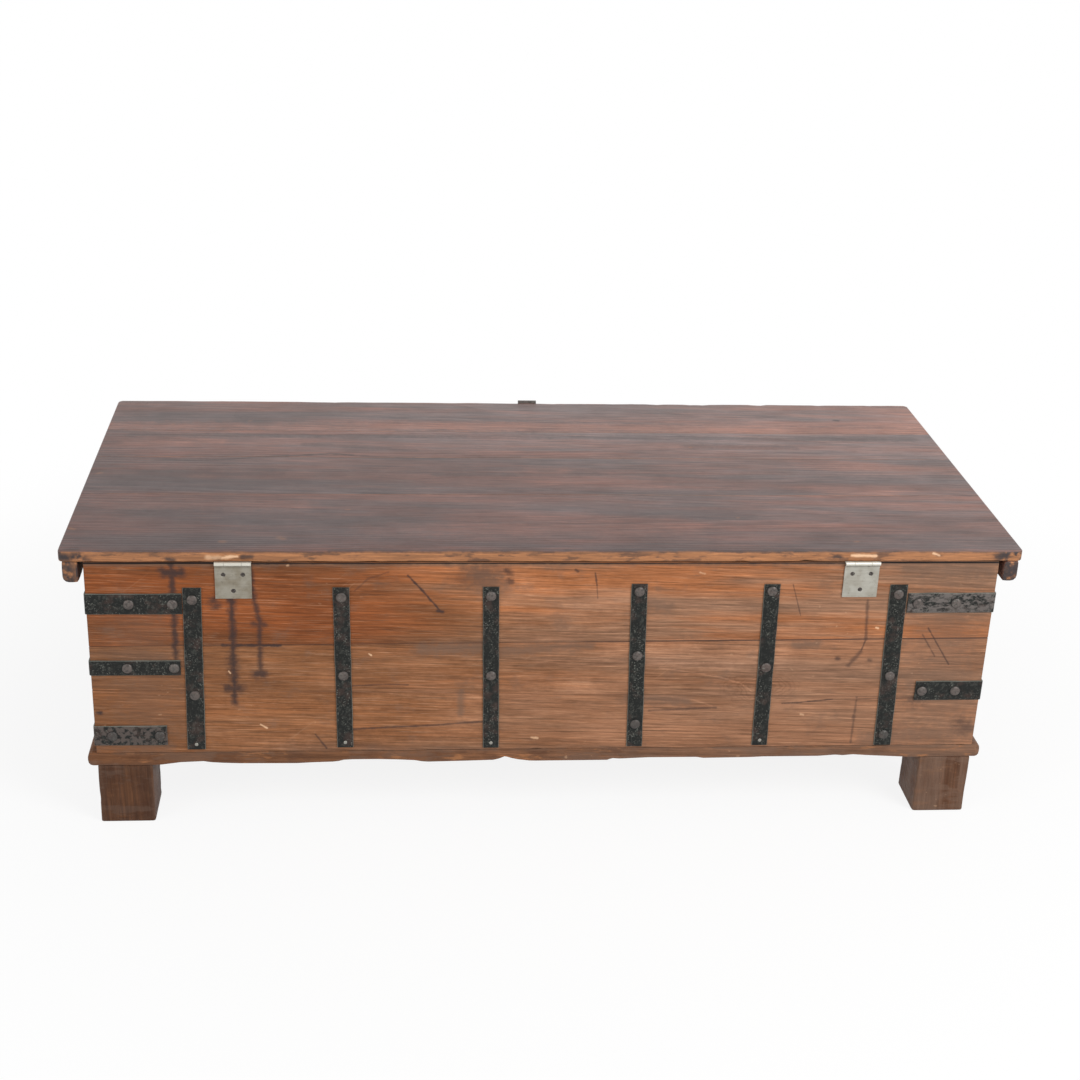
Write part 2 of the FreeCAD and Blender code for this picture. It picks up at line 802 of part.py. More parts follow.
def cut_hasp_seat(body):
    """Notch for the hasp's barrel in the lid's front edge, and pilot holes for its leaf."""
    reach = "hasp_barrel_radius + hasp_notch_gap"
    half = "(hasp_width / 2 + hasp_notch_gap)"
    corners = rectangle(
        f"{HASP_Y} - hasp_barrel_radius - hasp_notch_gap",
        "lid_depth + cut_overrun",
        f"{HASP_Z} - {reach}",
        f"{LID_TOP} + cut_overrun",
    )
    sketch = draw_outline(body, "YZ_Plane", "hasp_notch_outline", corners, f"hasp_offset + {half}")
    pocket(body, "hasp_notch", sketch, f"2 * {half}")
    centres = [(f"hasp_offset {sign} hasp_row_half", f"{HASP_Z} - hasp_row_drop") for sign in "-+"]
    holes = [screw_outline(centre, "hasp_screw_radius + screw_clearance") for centre in centres]
    sketch = draw_outlines(body, "XZ_Plane", "hasp_pilot_outlines", holes, "-lid_depth")
    depth = "hasp_screw_length - hasp_leaf_thickness + screw_clearance"
    pocket(body, "hasp_pilot_holes", sketch, depth, reverse=True)


for number in range(1, len(LID_SEAMS)):
    plank = lid_plank(number)
    if number == 1:
        cut_lid_leaf_holes(plank)
    if number == len(LID_SEAMS) - 1:
        cut_hasp_seat(plank)
    keep(plank, plank.Name)


def lid_cleat(side):
    sign = "-" if side == "left" else ""
    outer = f"{sign}({HALF_LID} - cleat_inset)"
    inner = f"{sign}({HALF_LID} - cleat_inset - cleat_width)"
    body = new_body(f"lid_cleat_{side}")
    corners = rectangle(outer, inner, f"{LID_UNDER} - cleat_height", LID_UNDER)
    sketch = draw_outline(body, "XZ_Plane", f"{body.Name}_outline", corners)
    pad(body, f"{body.Name}_pad", sketch, "lid_depth", reverse=True)

    def lower_outer(middle, edge):
        return near(middle.x, outer) and near(middle.z, f"{LID_UNDER} - cleat_height")

    dress(body, "Fillet", f"{body.Name}_round", "cleat_radius", lower_outer)

    def end_rim(middle, edge):
        at_end = near(middle.y, "0") or near(middle.y, "lid_depth")
        return at_end and not near(middle.z, LID_UNDER)

    dress(body, "Chamfer", f"{body.Name}_ends", "cleat_end_arris", end_rim)
    return keep(body, body.Name)


def lid_batten(side):
    middle = f"-{BATTEN_X}" if side == "left" else BATTEN_X
    start = "wall_thickness + batten_end_gap"
    stop = f"{BOX_DEPTH} - wall_thickness - batten_end_gap"
    body = new_body(f"lid_batten_{side}")
    corners = rectangle(f"{middle} - batten_width / 2", f"{middle} + batten_width / 2", start, stop)
    base = f"{LID_UNDER} - batten_thickness"
    sketch = draw_outline(body, "XY_Plane", f"{body.Name}_outline", corners, base)
    pad(body, f"{body.Name}_pad", sketch, "batten_thickness")

    def under_edge(middle, edge):
        return near(middle.z, base)

    dress(body, "Chamfer", f"{body.Name}_arris", "board_arris", under_edge)
    return keep(body, body.Name)


for side in ("left", "right"):
    lid_cleat(side)
    lid_batten(side)

lid_nails = []
for x_sign in (-1, 1):
    across = size(f"{HALF_LID} - cleat_inset - cleat_width * (1 - {CLEAT_NAIL_X_SHARE})")
    level = size(f"{LID_UNDER} - cleat_height")
    for share in CLEAT_NAIL_SHARES:
        lid_nails.append((Vector(x_sign * across, share * size("lid_depth"), level), -UP))
    level = size(f"{LID_UNDER} - batten_thickness")
    for share in BATTEN_NAIL_SHARES:
        lid_nails.append((Vector(x_sign * size(BATTEN_X), share * size(BOX_DEPTH), level), -UP))
group("lid_nails", flat_head("nail"), lid_nails)


# Hinge leaves, pins and screws, drawn about the pin's axis, which runs along X
def rod(name, radius, length, x, y, z):
    shape = doc.addObject("Part::Cylinder", name)
    bind(shape, "Radius", radius)
    bind(shape, "Height", length)
    shape.Placement = Placement(Vector(), Rotation(DEEP, 90))
    bind_base(shape, x, y, z)
    return shape


def outer_spans(kind):
    """X spans of the two outer knuckles."""
    half = f"{kind}_width / 2"
    gap = f"({kind}_middle_knuckle / 2 + knuckle_side_gap)"
    return [(f"-{half}", f"-{gap}"), (gap, half)]


def middle_span(kind):
    return [(f"-{kind}_middle_knuckle / 2", f"{kind}_middle_knuckle / 2")]


def screw_sink(kind):
    return f"({SINK_SHARE} * {kind}_leaf_thickness)"


def hinge_leaf(label, kind, away, spans, holes):
    """A leaf that hangs down from its pin: away is the distance from the pin's axis to the wood."""
    body = new_body(label)
    skin = f"({away} - {kind}_leaf_thickness)"
    root = f"-({kind}_barrel_radius + knuckle_gap)"
    half = f"{kind}_width / 2"
    corners = rectangle(f"-{half}", half, f"-{kind}_leaf_reach", root)
    sketch = draw_outline(body, "XZ_Plane", f"{label}_outline", corners, f"-{skin}")
    pad(body, f"{label}_plate", sketch, f"{kind}_leaf_thickness", reverse=True)
    radius = f"{kind}_screw_radius + screw_clearance"
    outlines = [screw_outline((x, f"-{drop}"), radius) for x, drop in holes]
    sketch = draw_outlines(body, "XZ_Plane", f"{label}_hole_outlines", outlines, f"-{skin}")
    pocket(body, f"{label}_holes", sketch, f"{kind}_leaf_thickness + cut_overrun")

    def hole_rim(middle, edge):
        return near(middle.y, skin) and edge.Length < size(f"{kind}_screw_radius")

    dress(body, "Chamfer", f"{label}_sinks", screw_sink(kind), hole_rim)
    web = rectangle(skin, away, root, "-knuckle_gap")
    for index, (left, right) in enumerate(spans):
        length = f"({right}) - ({left})"
        sketch = draw_outline(body, "YZ_Plane", f"{label}_web_outline_{index}", web, left)
        pad(body, f"{label}_web_{index}", sketch, length)
        circle = f"{label}_knuckle_circle_{index}"
        sketch = draw_circle(body, "YZ_Plane", circle, PIN_AXIS, f"{kind}_barrel_radius", left)
        pad(body, f"{label}_knuckle_{index}", sketch, length)
    bore = f"{kind}_pin_radius + pin_clearance"
    sketch = draw_circle(body, "YZ_Plane", f"{label}_bore_circle", PIN_AXIS, bore, half)
    pocket(body, f"{label}_bore", sketch, f"{kind}_width")
    return body


def screw(kind):
    """A countersunk head and a plain shank along Z, to be copied to each place."""
    body = new_body(f"{kind}_screw")
    flat_share = round(math.cos(math.pi / SCREW_SIDES), 6)
    taper = f"({screw_sink(kind)} - screw_head_rim - screw_clearance)"
    radius = f"{kind}_screw_radius + screw_clearance + {taper} / {flat_share}"
    sketch = draw_outline(body, "XY_Plane", f"{kind}_head_outline", screw_outline(PIN_AXIS, radius))
    pad(body, f"{kind}_head", sketch, f"screw_head_rim + {taper}")

    def under_edge(middle, edge):
        return near(middle.z, f"screw_head_rim + {taper}")

    dress(body, "Chamfer", f"{kind}_head_taper", taper, under_edge)
    shank = screw_outline(PIN_AXIS, f"{kind}_screw_radius")
    sketch = draw_outline(body, "XY_Plane", f"{kind}_shank_outline", shank)
    pad(body, f"{kind}_shank", sketch, f"{kind}_screw_length")
    doc.recompute()

    def placed(spot, drive):
        copied = body.Shape.copy()
        copied.Placement = Placement(Vector(*[size(text) for text in spot]), Rotation(UP, drive))
        return copied

    return placed


PIN_AXIS = ("0", "0")
LEAF_HOLES = [
    ("-hinge_row_half", "hinge_row_drop"),
    ("hinge_row_half", "hinge_row_drop"),
    ("0", "hinge_tip_drop"),
]
for side, middle in HINGE_X.items():
    leaf = hinge_leaf(f"box_hinge_leaf_{side}", "hinge", HINGE_OUT, outer_spans("hinge"), LEAF_HOLES)
    keep(leaf, leaf.Name, middle, f"-{HINGE_OUT}", HINGE_Z)
    away = "hinge_leaf_thickness"
    leaf = hinge_leaf(f"lid_hinge_leaf_{side}", "hinge", away, middle_span("hinge"), LEAF_HOLES)
    leaf.Placement = Placement(Vector(), Rotation(ALONG, 90))
    keep(leaf, leaf.Name, middle, f"-{HINGE_OUT}", HINGE_Z)

pins = []
for side, middle in HINGE_X.items():
    spot = (f"{middle} - hinge_width / 2", f"-{HINGE_OUT}", HINGE_Z)
    pins.append(rod(f"hinge_pin_{side}", "hinge_pin_radius", "hinge_width", *spot))
both_pins = doc.addObject("Part::MultiFuse", "hinge_pins")
both_pins.Shapes = pins
keep(both_pins, "hinge_pins")

hinge_screw = screw("hinge")
box_spots = [((x, "-hinge_leaf_thickness", f"{HINGE_Z} - {drop}"), DEEP) for x, drop in hinge_holes()]
lid_spots = [((x, f"{drop} - {HINGE_OUT}", HINGE_Z), UP) for x, drop in hinge_holes()]
group("box_hinge_screws", hinge_screw, box_spots)
group("lid_hinge_screws", hinge_screw, lid_spots)


# Hasp: a leaf on the lid's front edge, a strap that hangs from it and a staple in the front wall
HASP_HOLES = [("-hasp_row_half", "hasp_row_drop"), ("hasp_row_half", "hasp_row_drop")]
away = "(hasp_leaf_thickness + hasp_fold_gap)"
leaf = hinge_leaf("hasp_leaf", "hasp", away, outer_spans("hasp"), HASP_HOLES)
leaf.Placement = Placement(Vector(), Rotation(UP, 180))
keep(leaf, "hasp_leaf", "hasp_offset", HASP_Y, HASP_Z)

left = "hasp_offset - hasp_width / 2"
keep(rod("hasp_pin", "hasp_pin_radius", "hasp_width", "0", "0", "0"), "hasp_pin", left, HASP_Y, HASP_Z)

level = f"{HASP_Z} - hasp_row_drop"
front = "lid_depth + hasp_leaf_thickness"
hasp_spots = [((f"hasp_offset {sign} hasp_row_half", front, level), -DEEP) for sign in "-+"]
group("hasp_leaf_screws", screw("hasp"), hasp_spots)


def hasp_strap():
    """The strap hangs down from its pin's axis and rests swung out, clear of the staple."""
    body = new_body("hasp_strap")
    root = "-(hasp_barrel_radius + knuckle_gap)"
    thick = "hasp_strap_thickness"
    inner = "-hasp_fold_gap"
    corners = [
        ("-hasp_width / 2", root),
        ("-hasp_tip_width / 2", "-hasp_strap_length"),
        ("hasp_tip_width / 2", "-hasp_strap_length"),
        ("hasp_width / 2", root),
    ]
    sketch = draw_outline(body, "XZ_Plane", "hasp_outline", corners, inner)
    pad(body, "hasp_plate", sketch, thick, reverse=True)

    def tip_corner(middle, edge):
        return near(middle.z, "-hasp_strap_length") and runs_along(edge, DEEP)

    dress(body, "Fillet", "hasp_tip", "hasp_tip_radius", tip_corner)
    low, high = "-slot_drop - slot_height / 2", "-slot_drop + slot_height / 2"
    corners = rectangle("-slot_width / 2", "slot_width / 2", low, high)
    sketch = draw_outline(body, "XZ_Plane", "hasp_slot_outline", corners, "cut_overrun")
    pocket(body, "hasp_slot", sketch, f"{thick} + 2 * cut_overrun")

    def slot_corner(middle, edge):
        return near(abs(middle.x), "slot_width / 2") and runs_along(edge, DEEP)

    dress(body, "Fillet", "hasp_slot_ends", "slot_radius", slot_corner)
    web = rectangle("hasp_fold_gap", f"hasp_fold_gap + {thick}", root, "-knuckle_gap")
    start = "-hasp_middle_knuckle / 2"
    sketch = draw_outline(body, "YZ_Plane", "hasp_web_outline", web, start)
    pad(body, "hasp_web", sketch, "hasp_middle_knuckle")
    sketch = draw_circle(body, "YZ_Plane", "hasp_knuckle_circle", PIN_AXIS, "hasp_barrel_radius", start)
    pad(body, "hasp_knuckle", sketch, "hasp_middle_knuckle")
    bore = "hasp_pin_radius + pin_clearance"
    stop = "hasp_middle_knuckle / 2 + cut_overrun"
    sketch = draw_circle(body, "YZ_Plane", "hasp_bore_circle", PIN_AXIS, bore, stop)
    pocket(body, "hasp_bore", sketch, "hasp_middle_knuckle + 2 * cut_overrun")
    roll = (f"hasp_fold_gap + {thick}", "-hasp_strap_length + hasp_roll_radius")
    start = "-hasp_roll_width / 2"
    sketch = draw_circle(body, "YZ_Plane", "hasp_roll_circle", roll, "hasp_roll_radius", start)
    pad(body, "hasp_roll", sketch, "hasp_roll_width")
    body.Placement = Placement(Vector(), Rotation(ALONG, size("hasp_rest_angle")))
    bind(body, "Placement.Rotation.Angle", "hasp_rest_angle")
    return body


keep(hasp_strap(), "hasp_strap", "hasp_offset", HASP_Y, HASP_Z)


def hasp_staple():
    """A square bar bent to a U, its legs in the front wall and its nose standing out."""
    body = new_body("hasp_staple")
    foot_y = f"({BOX_DEPTH} - staple_leg)"
    outer_y = f"({BOX_DEPTH} + staple_reach)"
    inner_y = f"({BOX_DEPTH} + staple_reach - 2 * staple_wire_half)"
    outer = "(staple_half_height + staple_wire_half)"
    inner = "(staple_half_height - staple_wire_half)"
    corners = [
        (foot_y, f"{STAPLE_Z} + {inner}"),
        (inner_y, f"{STAPLE_Z} + {inner}"),
        (inner_y, f"{STAPLE_Z} - {inner}"),
        (foot_y, f"{STAPLE_Z} - {inner}"),
        (foot_y, f"{STAPLE_Z} - {outer}"),
        (outer_y, f"{STAPLE_Z} - {outer}"),
        (outer_y, f"{STAPLE_Z} + {outer}"),
        (foot_y, f"{STAPLE_Z} + {outer}"),
    ]
    sketch = draw_outline(body, "YZ_Plane", "staple_outline", corners, "hasp_offset - staple_wire_half")
    pad(body, "staple_bar", sketch, "2 * staple_wire_half")

    def bend(depth):
        return lambda middle, edge: near(middle.y, depth) and runs_along(edge, ALONG)

    dress(body, "Fillet", "staple_outer_bend", f"{STAPLE_BEND_SHARE} * {outer}", bend(outer_y))
    dress(body, "Fillet", "staple_inner_bend", f"{STAPLE_BEND_SHARE} * {inner}", bend(inner_y))
    return keep(body, "hasp_staple")


hasp_staple()


# Check every object, then write one file for each piece
doc.recompute()
for item in doc.Objects:
    if "Invalid" in item.State or "Error" in item.State:
        raise RuntimeError(f"{item.Name} is {item.State}")
for piece in pieces:
    if piece.Shape.isNull() or not piece.Shape.isValid() or not piece.Shape.Solids:
        raise RuntimeError(f"{piece.Label} has no valid solid")

os.makedirs("parts", exist_ok=True)
for piece in pieces:
    piece.Shape.exportStep(f"parts/{piece.Label}.step")
print(len(pieces), "pieces,", sum(len(piece.Shape.Solids) for piece in pieces), "solids")
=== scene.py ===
"""Looks for a low plank chest with iron straps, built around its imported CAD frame."""

import json
import math

import bmesh
import bpy
from bpy.props import FloatProperty, FloatVectorProperty, IntProperty, PointerProperty
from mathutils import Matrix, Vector, noise


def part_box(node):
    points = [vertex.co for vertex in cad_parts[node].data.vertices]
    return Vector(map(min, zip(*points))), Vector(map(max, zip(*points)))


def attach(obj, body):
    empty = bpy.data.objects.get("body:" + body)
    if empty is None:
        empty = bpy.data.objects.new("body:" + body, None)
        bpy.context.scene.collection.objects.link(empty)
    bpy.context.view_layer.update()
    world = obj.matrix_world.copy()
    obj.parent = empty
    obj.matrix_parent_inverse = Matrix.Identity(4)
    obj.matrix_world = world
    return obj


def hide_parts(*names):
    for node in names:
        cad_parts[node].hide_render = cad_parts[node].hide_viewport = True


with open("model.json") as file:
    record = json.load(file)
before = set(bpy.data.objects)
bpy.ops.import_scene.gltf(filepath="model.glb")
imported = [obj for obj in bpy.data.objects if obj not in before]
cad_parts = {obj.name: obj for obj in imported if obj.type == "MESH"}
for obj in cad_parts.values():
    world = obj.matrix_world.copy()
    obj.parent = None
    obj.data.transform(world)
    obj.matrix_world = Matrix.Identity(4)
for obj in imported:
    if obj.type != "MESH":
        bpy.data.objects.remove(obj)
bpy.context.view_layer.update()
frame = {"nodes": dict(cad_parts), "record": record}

bl_info = {
    "name": "Strapped Plank Chest",
    "version": (1, 0, 0),
    "blender": (4, 5, 0),
    "location": "View3D > Sidebar > Chest",
    "description": "Worn wood, black iron and zinc fittings for a low plank chest",
    "category": "Object",
}

X, Y, Z = 0, 1, 2
MM = 0.001


def colour_prop(name, text, rgb):
    return FloatVectorProperty(name=name, description=text, subtype="COLOR", size=3, min=0, max=1, default=rgb)


def length_prop(name, text, metres):
    return FloatProperty(name=name, description=text, unit="LENGTH", min=0, precision=5, default=metres)


# Sizes and colours that a user would change
class ChestWood(bpy.types.PropertyGroup):
    lid_brown: colour_prop("Lid brown", "Main tone of the lid", (0.128, 0.066, 0.052))
    lid_grey: colour_prop("Lid grey", "Cool worn streaks on the lid", (0.082, 0.066, 0.066))
    lid_warm: colour_prop("Lid warm", "Reddish streaks on the lid", (0.205, 0.105, 0.078))
    # Lid dark also paints the shade along the lid's near edge
    lid_dark: colour_prop("Lid dark", "Dark lines and stains on the lid", (0.030, 0.019, 0.018))
    wall_tan: colour_prop("Wall tan", "Main tone of the walls' left side", (0.212, 0.087, 0.035))
    # Painted light: this paler tone is laid on the right-hand side of the walls, floor boards and feet, as if lit more
    # from the right
    wall_faded: colour_prop("Wall faded", "Paler tone of the walls' right side", (0.285, 0.146, 0.084))
    wall_orange: colour_prop("Wall orange", "Stronger tone of the upper boards", (0.350, 0.118, 0.038))
    wall_pale: colour_prop("Wall pale", "Pale lines of the walls' grain", (0.520, 0.300, 0.180))
    wall_dark: colour_prop("Wall dark", "Dark lines of the walls' grain", (0.070, 0.026, 0.012))
    wall_grey: colour_prop("Wall grey", "Weathered grey by the seams", (0.150, 0.090, 0.062))
    foot_brown: colour_prop("Foot brown", "Main tone of the feet", (0.105, 0.046, 0.023))
    edge_raw: colour_prop("Bare edge", "Wood where the stain has worn off", (0.370, 0.155, 0.060))
    fresh_chip: colour_prop("Fresh chip", "Newly broken wood by the hinges", (0.760, 0.480, 0.290))
    # The stain colour also paints the shade in the seams and the shadow along the top of the back wall
    stain: colour_prop("Stain", "Dark runs below the hinges", (0.042, 0.026, 0.024))
    edge_round: length_prop("Edge rounding", "Radius of the boards' worn edges", 0.0014)
    edge_wander: length_prop("Edge wander", "How far the worn edges stray inwards", 0.0012)
    ring_spacing: length_prop("Ring spacing", "Distance between growth rings", 0.0042)


class ChestIron(bpy.types.PropertyGroup):
    # Black paint also paints the shade round the rivets' rims
    paint: colour_prop("Black paint", "Paint on the straps and bands", (0.009, 0.010, 0.009))
    # Flaked paint also paints the straps' pale edges, part worn paint and part painted highlight
    flake: colour_prop("Flaked paint", "Grey specks where the paint is thin", (0.210, 0.215, 0.185))
    rust: colour_prop("Rust", "Rusty patches", (0.070, 0.042, 0.034))
    rivet: colour_prop("Rivet brown", "Hammered heads", (0.098, 0.078, 0.069))
    worn: colour_prop("Worn iron", "Iron where the paint has gone", (0.150, 0.130, 0.120))
    strap_wander: length_prop("Strap wander", "How far the straps' edges stray", 0.0006)
    head_sides: IntProperty(name="Head sides", description="Points round a rivet's head", min=8, default=22)


class ChestZinc(bpy.types.PropertyGroup):
    zinc: colour_prop("Zinc", "Dull plating on the hinges", (0.225, 0.195, 0.145))
    zinc_pale: colour_prop("Pale zinc", "Bright patches of the plating", (0.420, 0.405, 0.355))
    # Painted highlight: this bright zinc lights the knuckles' tops and the strap nails' heads
    zinc_bright: colour_prop("Bright zinc", "Rubbed plating on the knuckles", (0.720, 0.700, 0.620))
    # Screw grey also paints the shadow line below the knuckles
    screw: colour_prop("Screw grey", "Darkened screw heads", (0.055, 0.045, 0.040))
    slot_width: length_prop("Slot width", "Width of a screw's slot", 0.0009)


class ChestStage(bpy.types.PropertyGroup):
    floor: colour_prop("Floor", "Plain pale floor", (0.9, 0.9, 0.9))
    sky: FloatProperty(name="Sky", description="Strength of the studio's even light", min=0, default=0.5)
    key_watts: FloatProperty(name="Key lamp", description="Power of the main lamp", min=0, default=84)
    fill_watts: FloatProperty(name="Fill lamp", description="Power of the side lamp", min=0, default=24)
    lens: FloatProperty(name="Lens", description="Focal length in millimetres", min=1, default=59.24)
    camera_place: FloatVectorProperty(
        name="Camera place", description="Where the camera stands", subtype="XYZ", unit="LENGTH",
        default=(-0.228116, -2.512584, 1.398776),
    )
    camera_turn: FloatVectorProperty(
        name="Camera turn", description="How the camera is turned", subtype="EULER", unit="ROTATION",
        default=(1.159467, -0.035430, -0.080458),
    )


# Short calls that build node trees
class Value:
    """A number, vector or colour in a node tree. What is done with it adds nodes."""

    def __init__(self, tree, socket):
        self.tree, self.socket = tree, socket
        self.many = socket.type != "VALUE"

    def calc(self, operation, *others, clamp=False):
        given = dict(enumerate((self, *others)))
        if not self.many:
            return self.tree.out("ShaderNodeMath", given, operation=operation, use_clamp=clamp)
        result = "Value" if operation in ("LENGTH", "DOT_PRODUCT") else "Vector"
        return self.tree.out("ShaderNodeVectorMath", given, result, operation=operation)

    def __add__(self, other):
        return self.calc("ADD", other)

    def __sub__(self, other):
        return self.calc("SUBTRACT", other)

    def __truediv__(self, other):
        return self.calc("DIVIDE", other)

    def __mul__(self, other):
        if self.many and not (isinstance(other, tuple) or getattr(other, "many", False)):
            return self.tree.out("ShaderNodeVectorMath", {0: self, "Scale": other}, "Vector", operation="SCALE")
        return self.calc("MULTIPLY", other)

    __rmul__ = __mul__

    def max(self, other):
        return self.calc("MAXIMUM", other)

    def step(self, low, high):
        """A soft step from 0 at low to 1 at high, falling where low is the higher."""
        ends = ((low, 0.0), (high, 1.0)) if low < high else ((high, 1.0), (low, 0.0))
        return self.tree.ramp(self, *ends, interpolation_type="SMOOTHSTEP")

    def noise(self, scales, detail=2.0, rough=0.5, output="Fac"):
        """Noise at this place, stretched by one scale for each axis."""
        place = self * (scales if isinstance(scales, tuple) else (scales,) * 3)
        given = {"Vector": place, "Scale": 1.0, "Detail": detail, "Roughness": rough}
        return self.tree.out("ShaderNodeTexNoise", given, output)

    def parts(self):
        made = self.tree.node("ShaderNodeSeparateXYZ", {0: self})
        return [Value(self.tree, made.outputs[axis]) for axis in (X, Y, Z)]


class Tree:
    """The nodes of a material, of a world or of an effect."""

    def __init__(self, tree):
        self.tree = tree
        tree.nodes.clear()

    def node(self, kind, inputs=None, **settings):
        made = self.tree.nodes.new(kind)
        for key, value in settings.items():
            setattr(made, key, value)
        for key, value in (inputs or {}).items():
            self.put(made.inputs[key], value)
        return made

    def put(self, socket, value):
        if isinstance(value, Value):
            self.tree.links.new(value.socket, socket)
        else:
            socket.default_value = (*value[:3], 1) if socket.type == "RGBA" else value

    def out(self, kind, inputs=None, output=0, **settings):
        return Value(self, self.node(kind, inputs, **settings).outputs[output])

    def outs(self, made):
        return {socket.name: Value(self, socket) for socket in made.outputs}

    def mix(self, share, first, second, blend="MIX"):
        given = {0: share, 6: first, 7: second}
        return self.out("ShaderNodeMix", given, 2, data_type="RGBA", blend_type=blend)

    def ramp(self, value, start, stop, **settings):
        """A value that goes from start to stop, each given as its old and its new number."""
        given = {"Value": value, "From Min": start[0], "From Max": stop[0], "To Min": start[1], "To Max": stop[1]}
        return self.out("ShaderNodeMapRange", given, **settings)

    def attribute(self, name, output="Fac"):
        return self.out("ShaderNodeAttribute", None, output, attribute_name=name)

    def here(self):
        """The place on the piece as it stands at rest, and which way its surface faces."""
        made = self.outs(self.node("ShaderNodeTexCoord"))
        return made["Object"], made["Normal"]

    def effect(self, name, **inputs):
        given = {key.replace("_", " "): value for key, value in inputs.items()}
        return self.outs(self.node("ShaderNodeGroup", given, node_tree=EFFECTS[name]()))


# Effects that several materials share
EFFECTS = {}
ORIGIN, HALF, WHITE = (0.0, 0.0, 0.0), (0.5, 0.5, 0.5), (1.0, 1.0, 1.0)


def shared(**inputs):
    """Makes an effect a node group with those inputs, built the first time that a material asks for it."""

    def keep(build):
        name = build.__name__.replace("_", " ").capitalize()

        def built():
            if name in bpy.data.node_groups:
                return bpy.data.node_groups[name]
            group = bpy.data.node_groups.new(name, "ShaderNodeTree")
            for word, value in inputs.items():
                kind = "NodeSocketVector" if isinstance(value, tuple) else "NodeSocketFloat"
                socket = group.interface.new_socket(name=word.replace("_", " "), in_out="INPUT", socket_type=kind)
                socket.default_value = value
            tree = Tree(group)
            results = build(tree, tree.outs(tree.node("NodeGroupInput")))
            for word in results:
                group.interface.new_socket(name=word, in_out="OUTPUT", socket_type="NodeSocketFloat")
            tree.node("NodeGroupOutput", results)
            return group

        EFFECTS[name] = built
        return build

    return keep


@shared(Spacing=0.006, Wander=1.0)
def plank_grain(tree, given):
    """Sawn wood: rings about a pith beside the board, bent as the tree grew, with fibres and pores."""
    place = tree.attribute("grain", "Vector")
    slow = place.noise((1.0, 3.5, 3.5), 1.5, output="Color") - HALF
    quick = place.noise((6.0, 28.0, 28.0), output="Color") - HALF
    drift = slow * (0, 0.055, 0.055) + quick * (0, 0.006, 0.006)
    bent = place * (0, 1, 1) + drift * given["Wander"]
    turn = (bent.calc("LENGTH") / given["Spacing"]).calc("FRACT")
    patch = place.noise((1.6, 13, 13)).step(0.35, 0.65) * 0.75 + 0.25
    rings = turn.step(0.3, 0.9) * turn.step(1.0, 0.93) * patch
    fibre = place.noise((8, 340, 340), 4, 0.8)
    pores = place.noise((45, 1300, 1300), 1).step(0.6, 0.72)
    warped = place + quick * (0, 0.004, 0.004)
    moved = warped + (7.3, 0.4, 1.9)
    return {
        "Rings": rings,
        "Fibre": fibre,
        "Dark lines": warped.noise((9, 600, 600), 3, 0.7).step(0.53, 0.64),
        "Pale lines": moved.noise((11, 620, 620), 3, 0.7).step(0.54, 0.65),
        "Streaks": warped.noise((3.6, 170, 170), 5, 0.75),
        "Bands": moved.noise((1.5, 18, 18), 4, 0.65),
        "Cloud": place.noise((5.0, 12, 12), 5, 0.65),
        "Height": fibre - (pores * 0.5 + rings),
    }


@shared(Place=ORIGIN, Start=ORIGIN, End=ORIGIN, Half_width=0.003, Softness=0.003, Strength=1.0)
def stroke(tree, given):
    """A mark along a line on a face, with a soft and slightly ragged edge."""
    place, start = given["Place"], given["Start"]
    away, run = place - start, given["End"] - start
    share = away.calc("DOT_PRODUCT", run).calc("DIVIDE", run.calc("DOT_PRODUCT", run), clamp=True)
    gap = (away - run * share).calc("LENGTH")
    spread = given["Half width"] + given["Softness"]
    ragged = place.noise((95, 120, 95), 3, 0.6) - 0.5
    gap = ragged.calc("MULTIPLY_ADD", spread * 1.5, gap)
    edge = tree.ramp(gap, (0.0, 1.0), (spread, 0.0), interpolation_type="SMOOTHSTEP")
    return {"Mask": edge * given["Strength"]}


@shared(Place=ORIGIN, Centre=ORIGIN, Reach=0.03, Spacing=0.0042)
def knot_rings(tree, given):
    """Long closed rings where the saw met a swelling in the trunk."""
    sway = given["Place"].noise((30, 36, 1), 3, output="Color") - HALF
    reach = ((given["Place"] - given["Centre"]) * (0.55, 1, 0) + sway * 0.03).calc("LENGTH")
    ring = (reach / given["Spacing"]).calc("FRACT")
    near = (reach / given["Reach"]).step(1.0, 0.4)
    return {"Mask": ring.step(0.25, 0.5) * ring.step(0.85, 0.65) * near}


@shared(Amount=0.5)
def scuffs(tree, given):
    """Small pale chips and thin scratches in patches."""
    place, _ = tree.here()
    chips = place.noise((110, 130, 170), 1.5).step(0.7, 0.76) * place.noise(9).step(0.5, 0.72)
    turned = tree.out("ShaderNodeVectorRotate", {"Vector": place, "Angle": 0.7}, rotation_type="Y_AXIS")
    lines = turned.noise((9, 40, 520), 1.5).step(0.69, 0.74) * place.noise(14).step(0.5, 0.7)
    dirt = place.noise((26, 26, 34), 5, 0.65)
    return {"Chips": chips * given["Amount"], "Scratches": lines * given["Amount"], "Dirt": dirt}


@shared(Rust_share=0.4)
def speckled_paint(tree, given):
    """Old brushed paint on iron, with flakes, rust and hammered hollows."""
    place, _ = tree.here()
    fleck = place.noise(420, 2, 0.7).step(0.56, 0.68)
    area = place.noise((60, 60, 40), 3, 0.6).step(0.38, 0.62)
    mottle = place.noise((150, 150, 120), 4, 0.7).step(0.5, 0.66)
    rust = place.noise((46, 52, 60), 4, 0.6).step(0.5, 0.68)
    return {
        "Flakes": (mottle * 0.22 + fleck * area).calc("MINIMUM", 1.0),
        "Rust": rust * given["Rust share"],
        "Height": fleck * 0.25 + place.noise(95, 3, 0.55),
    }
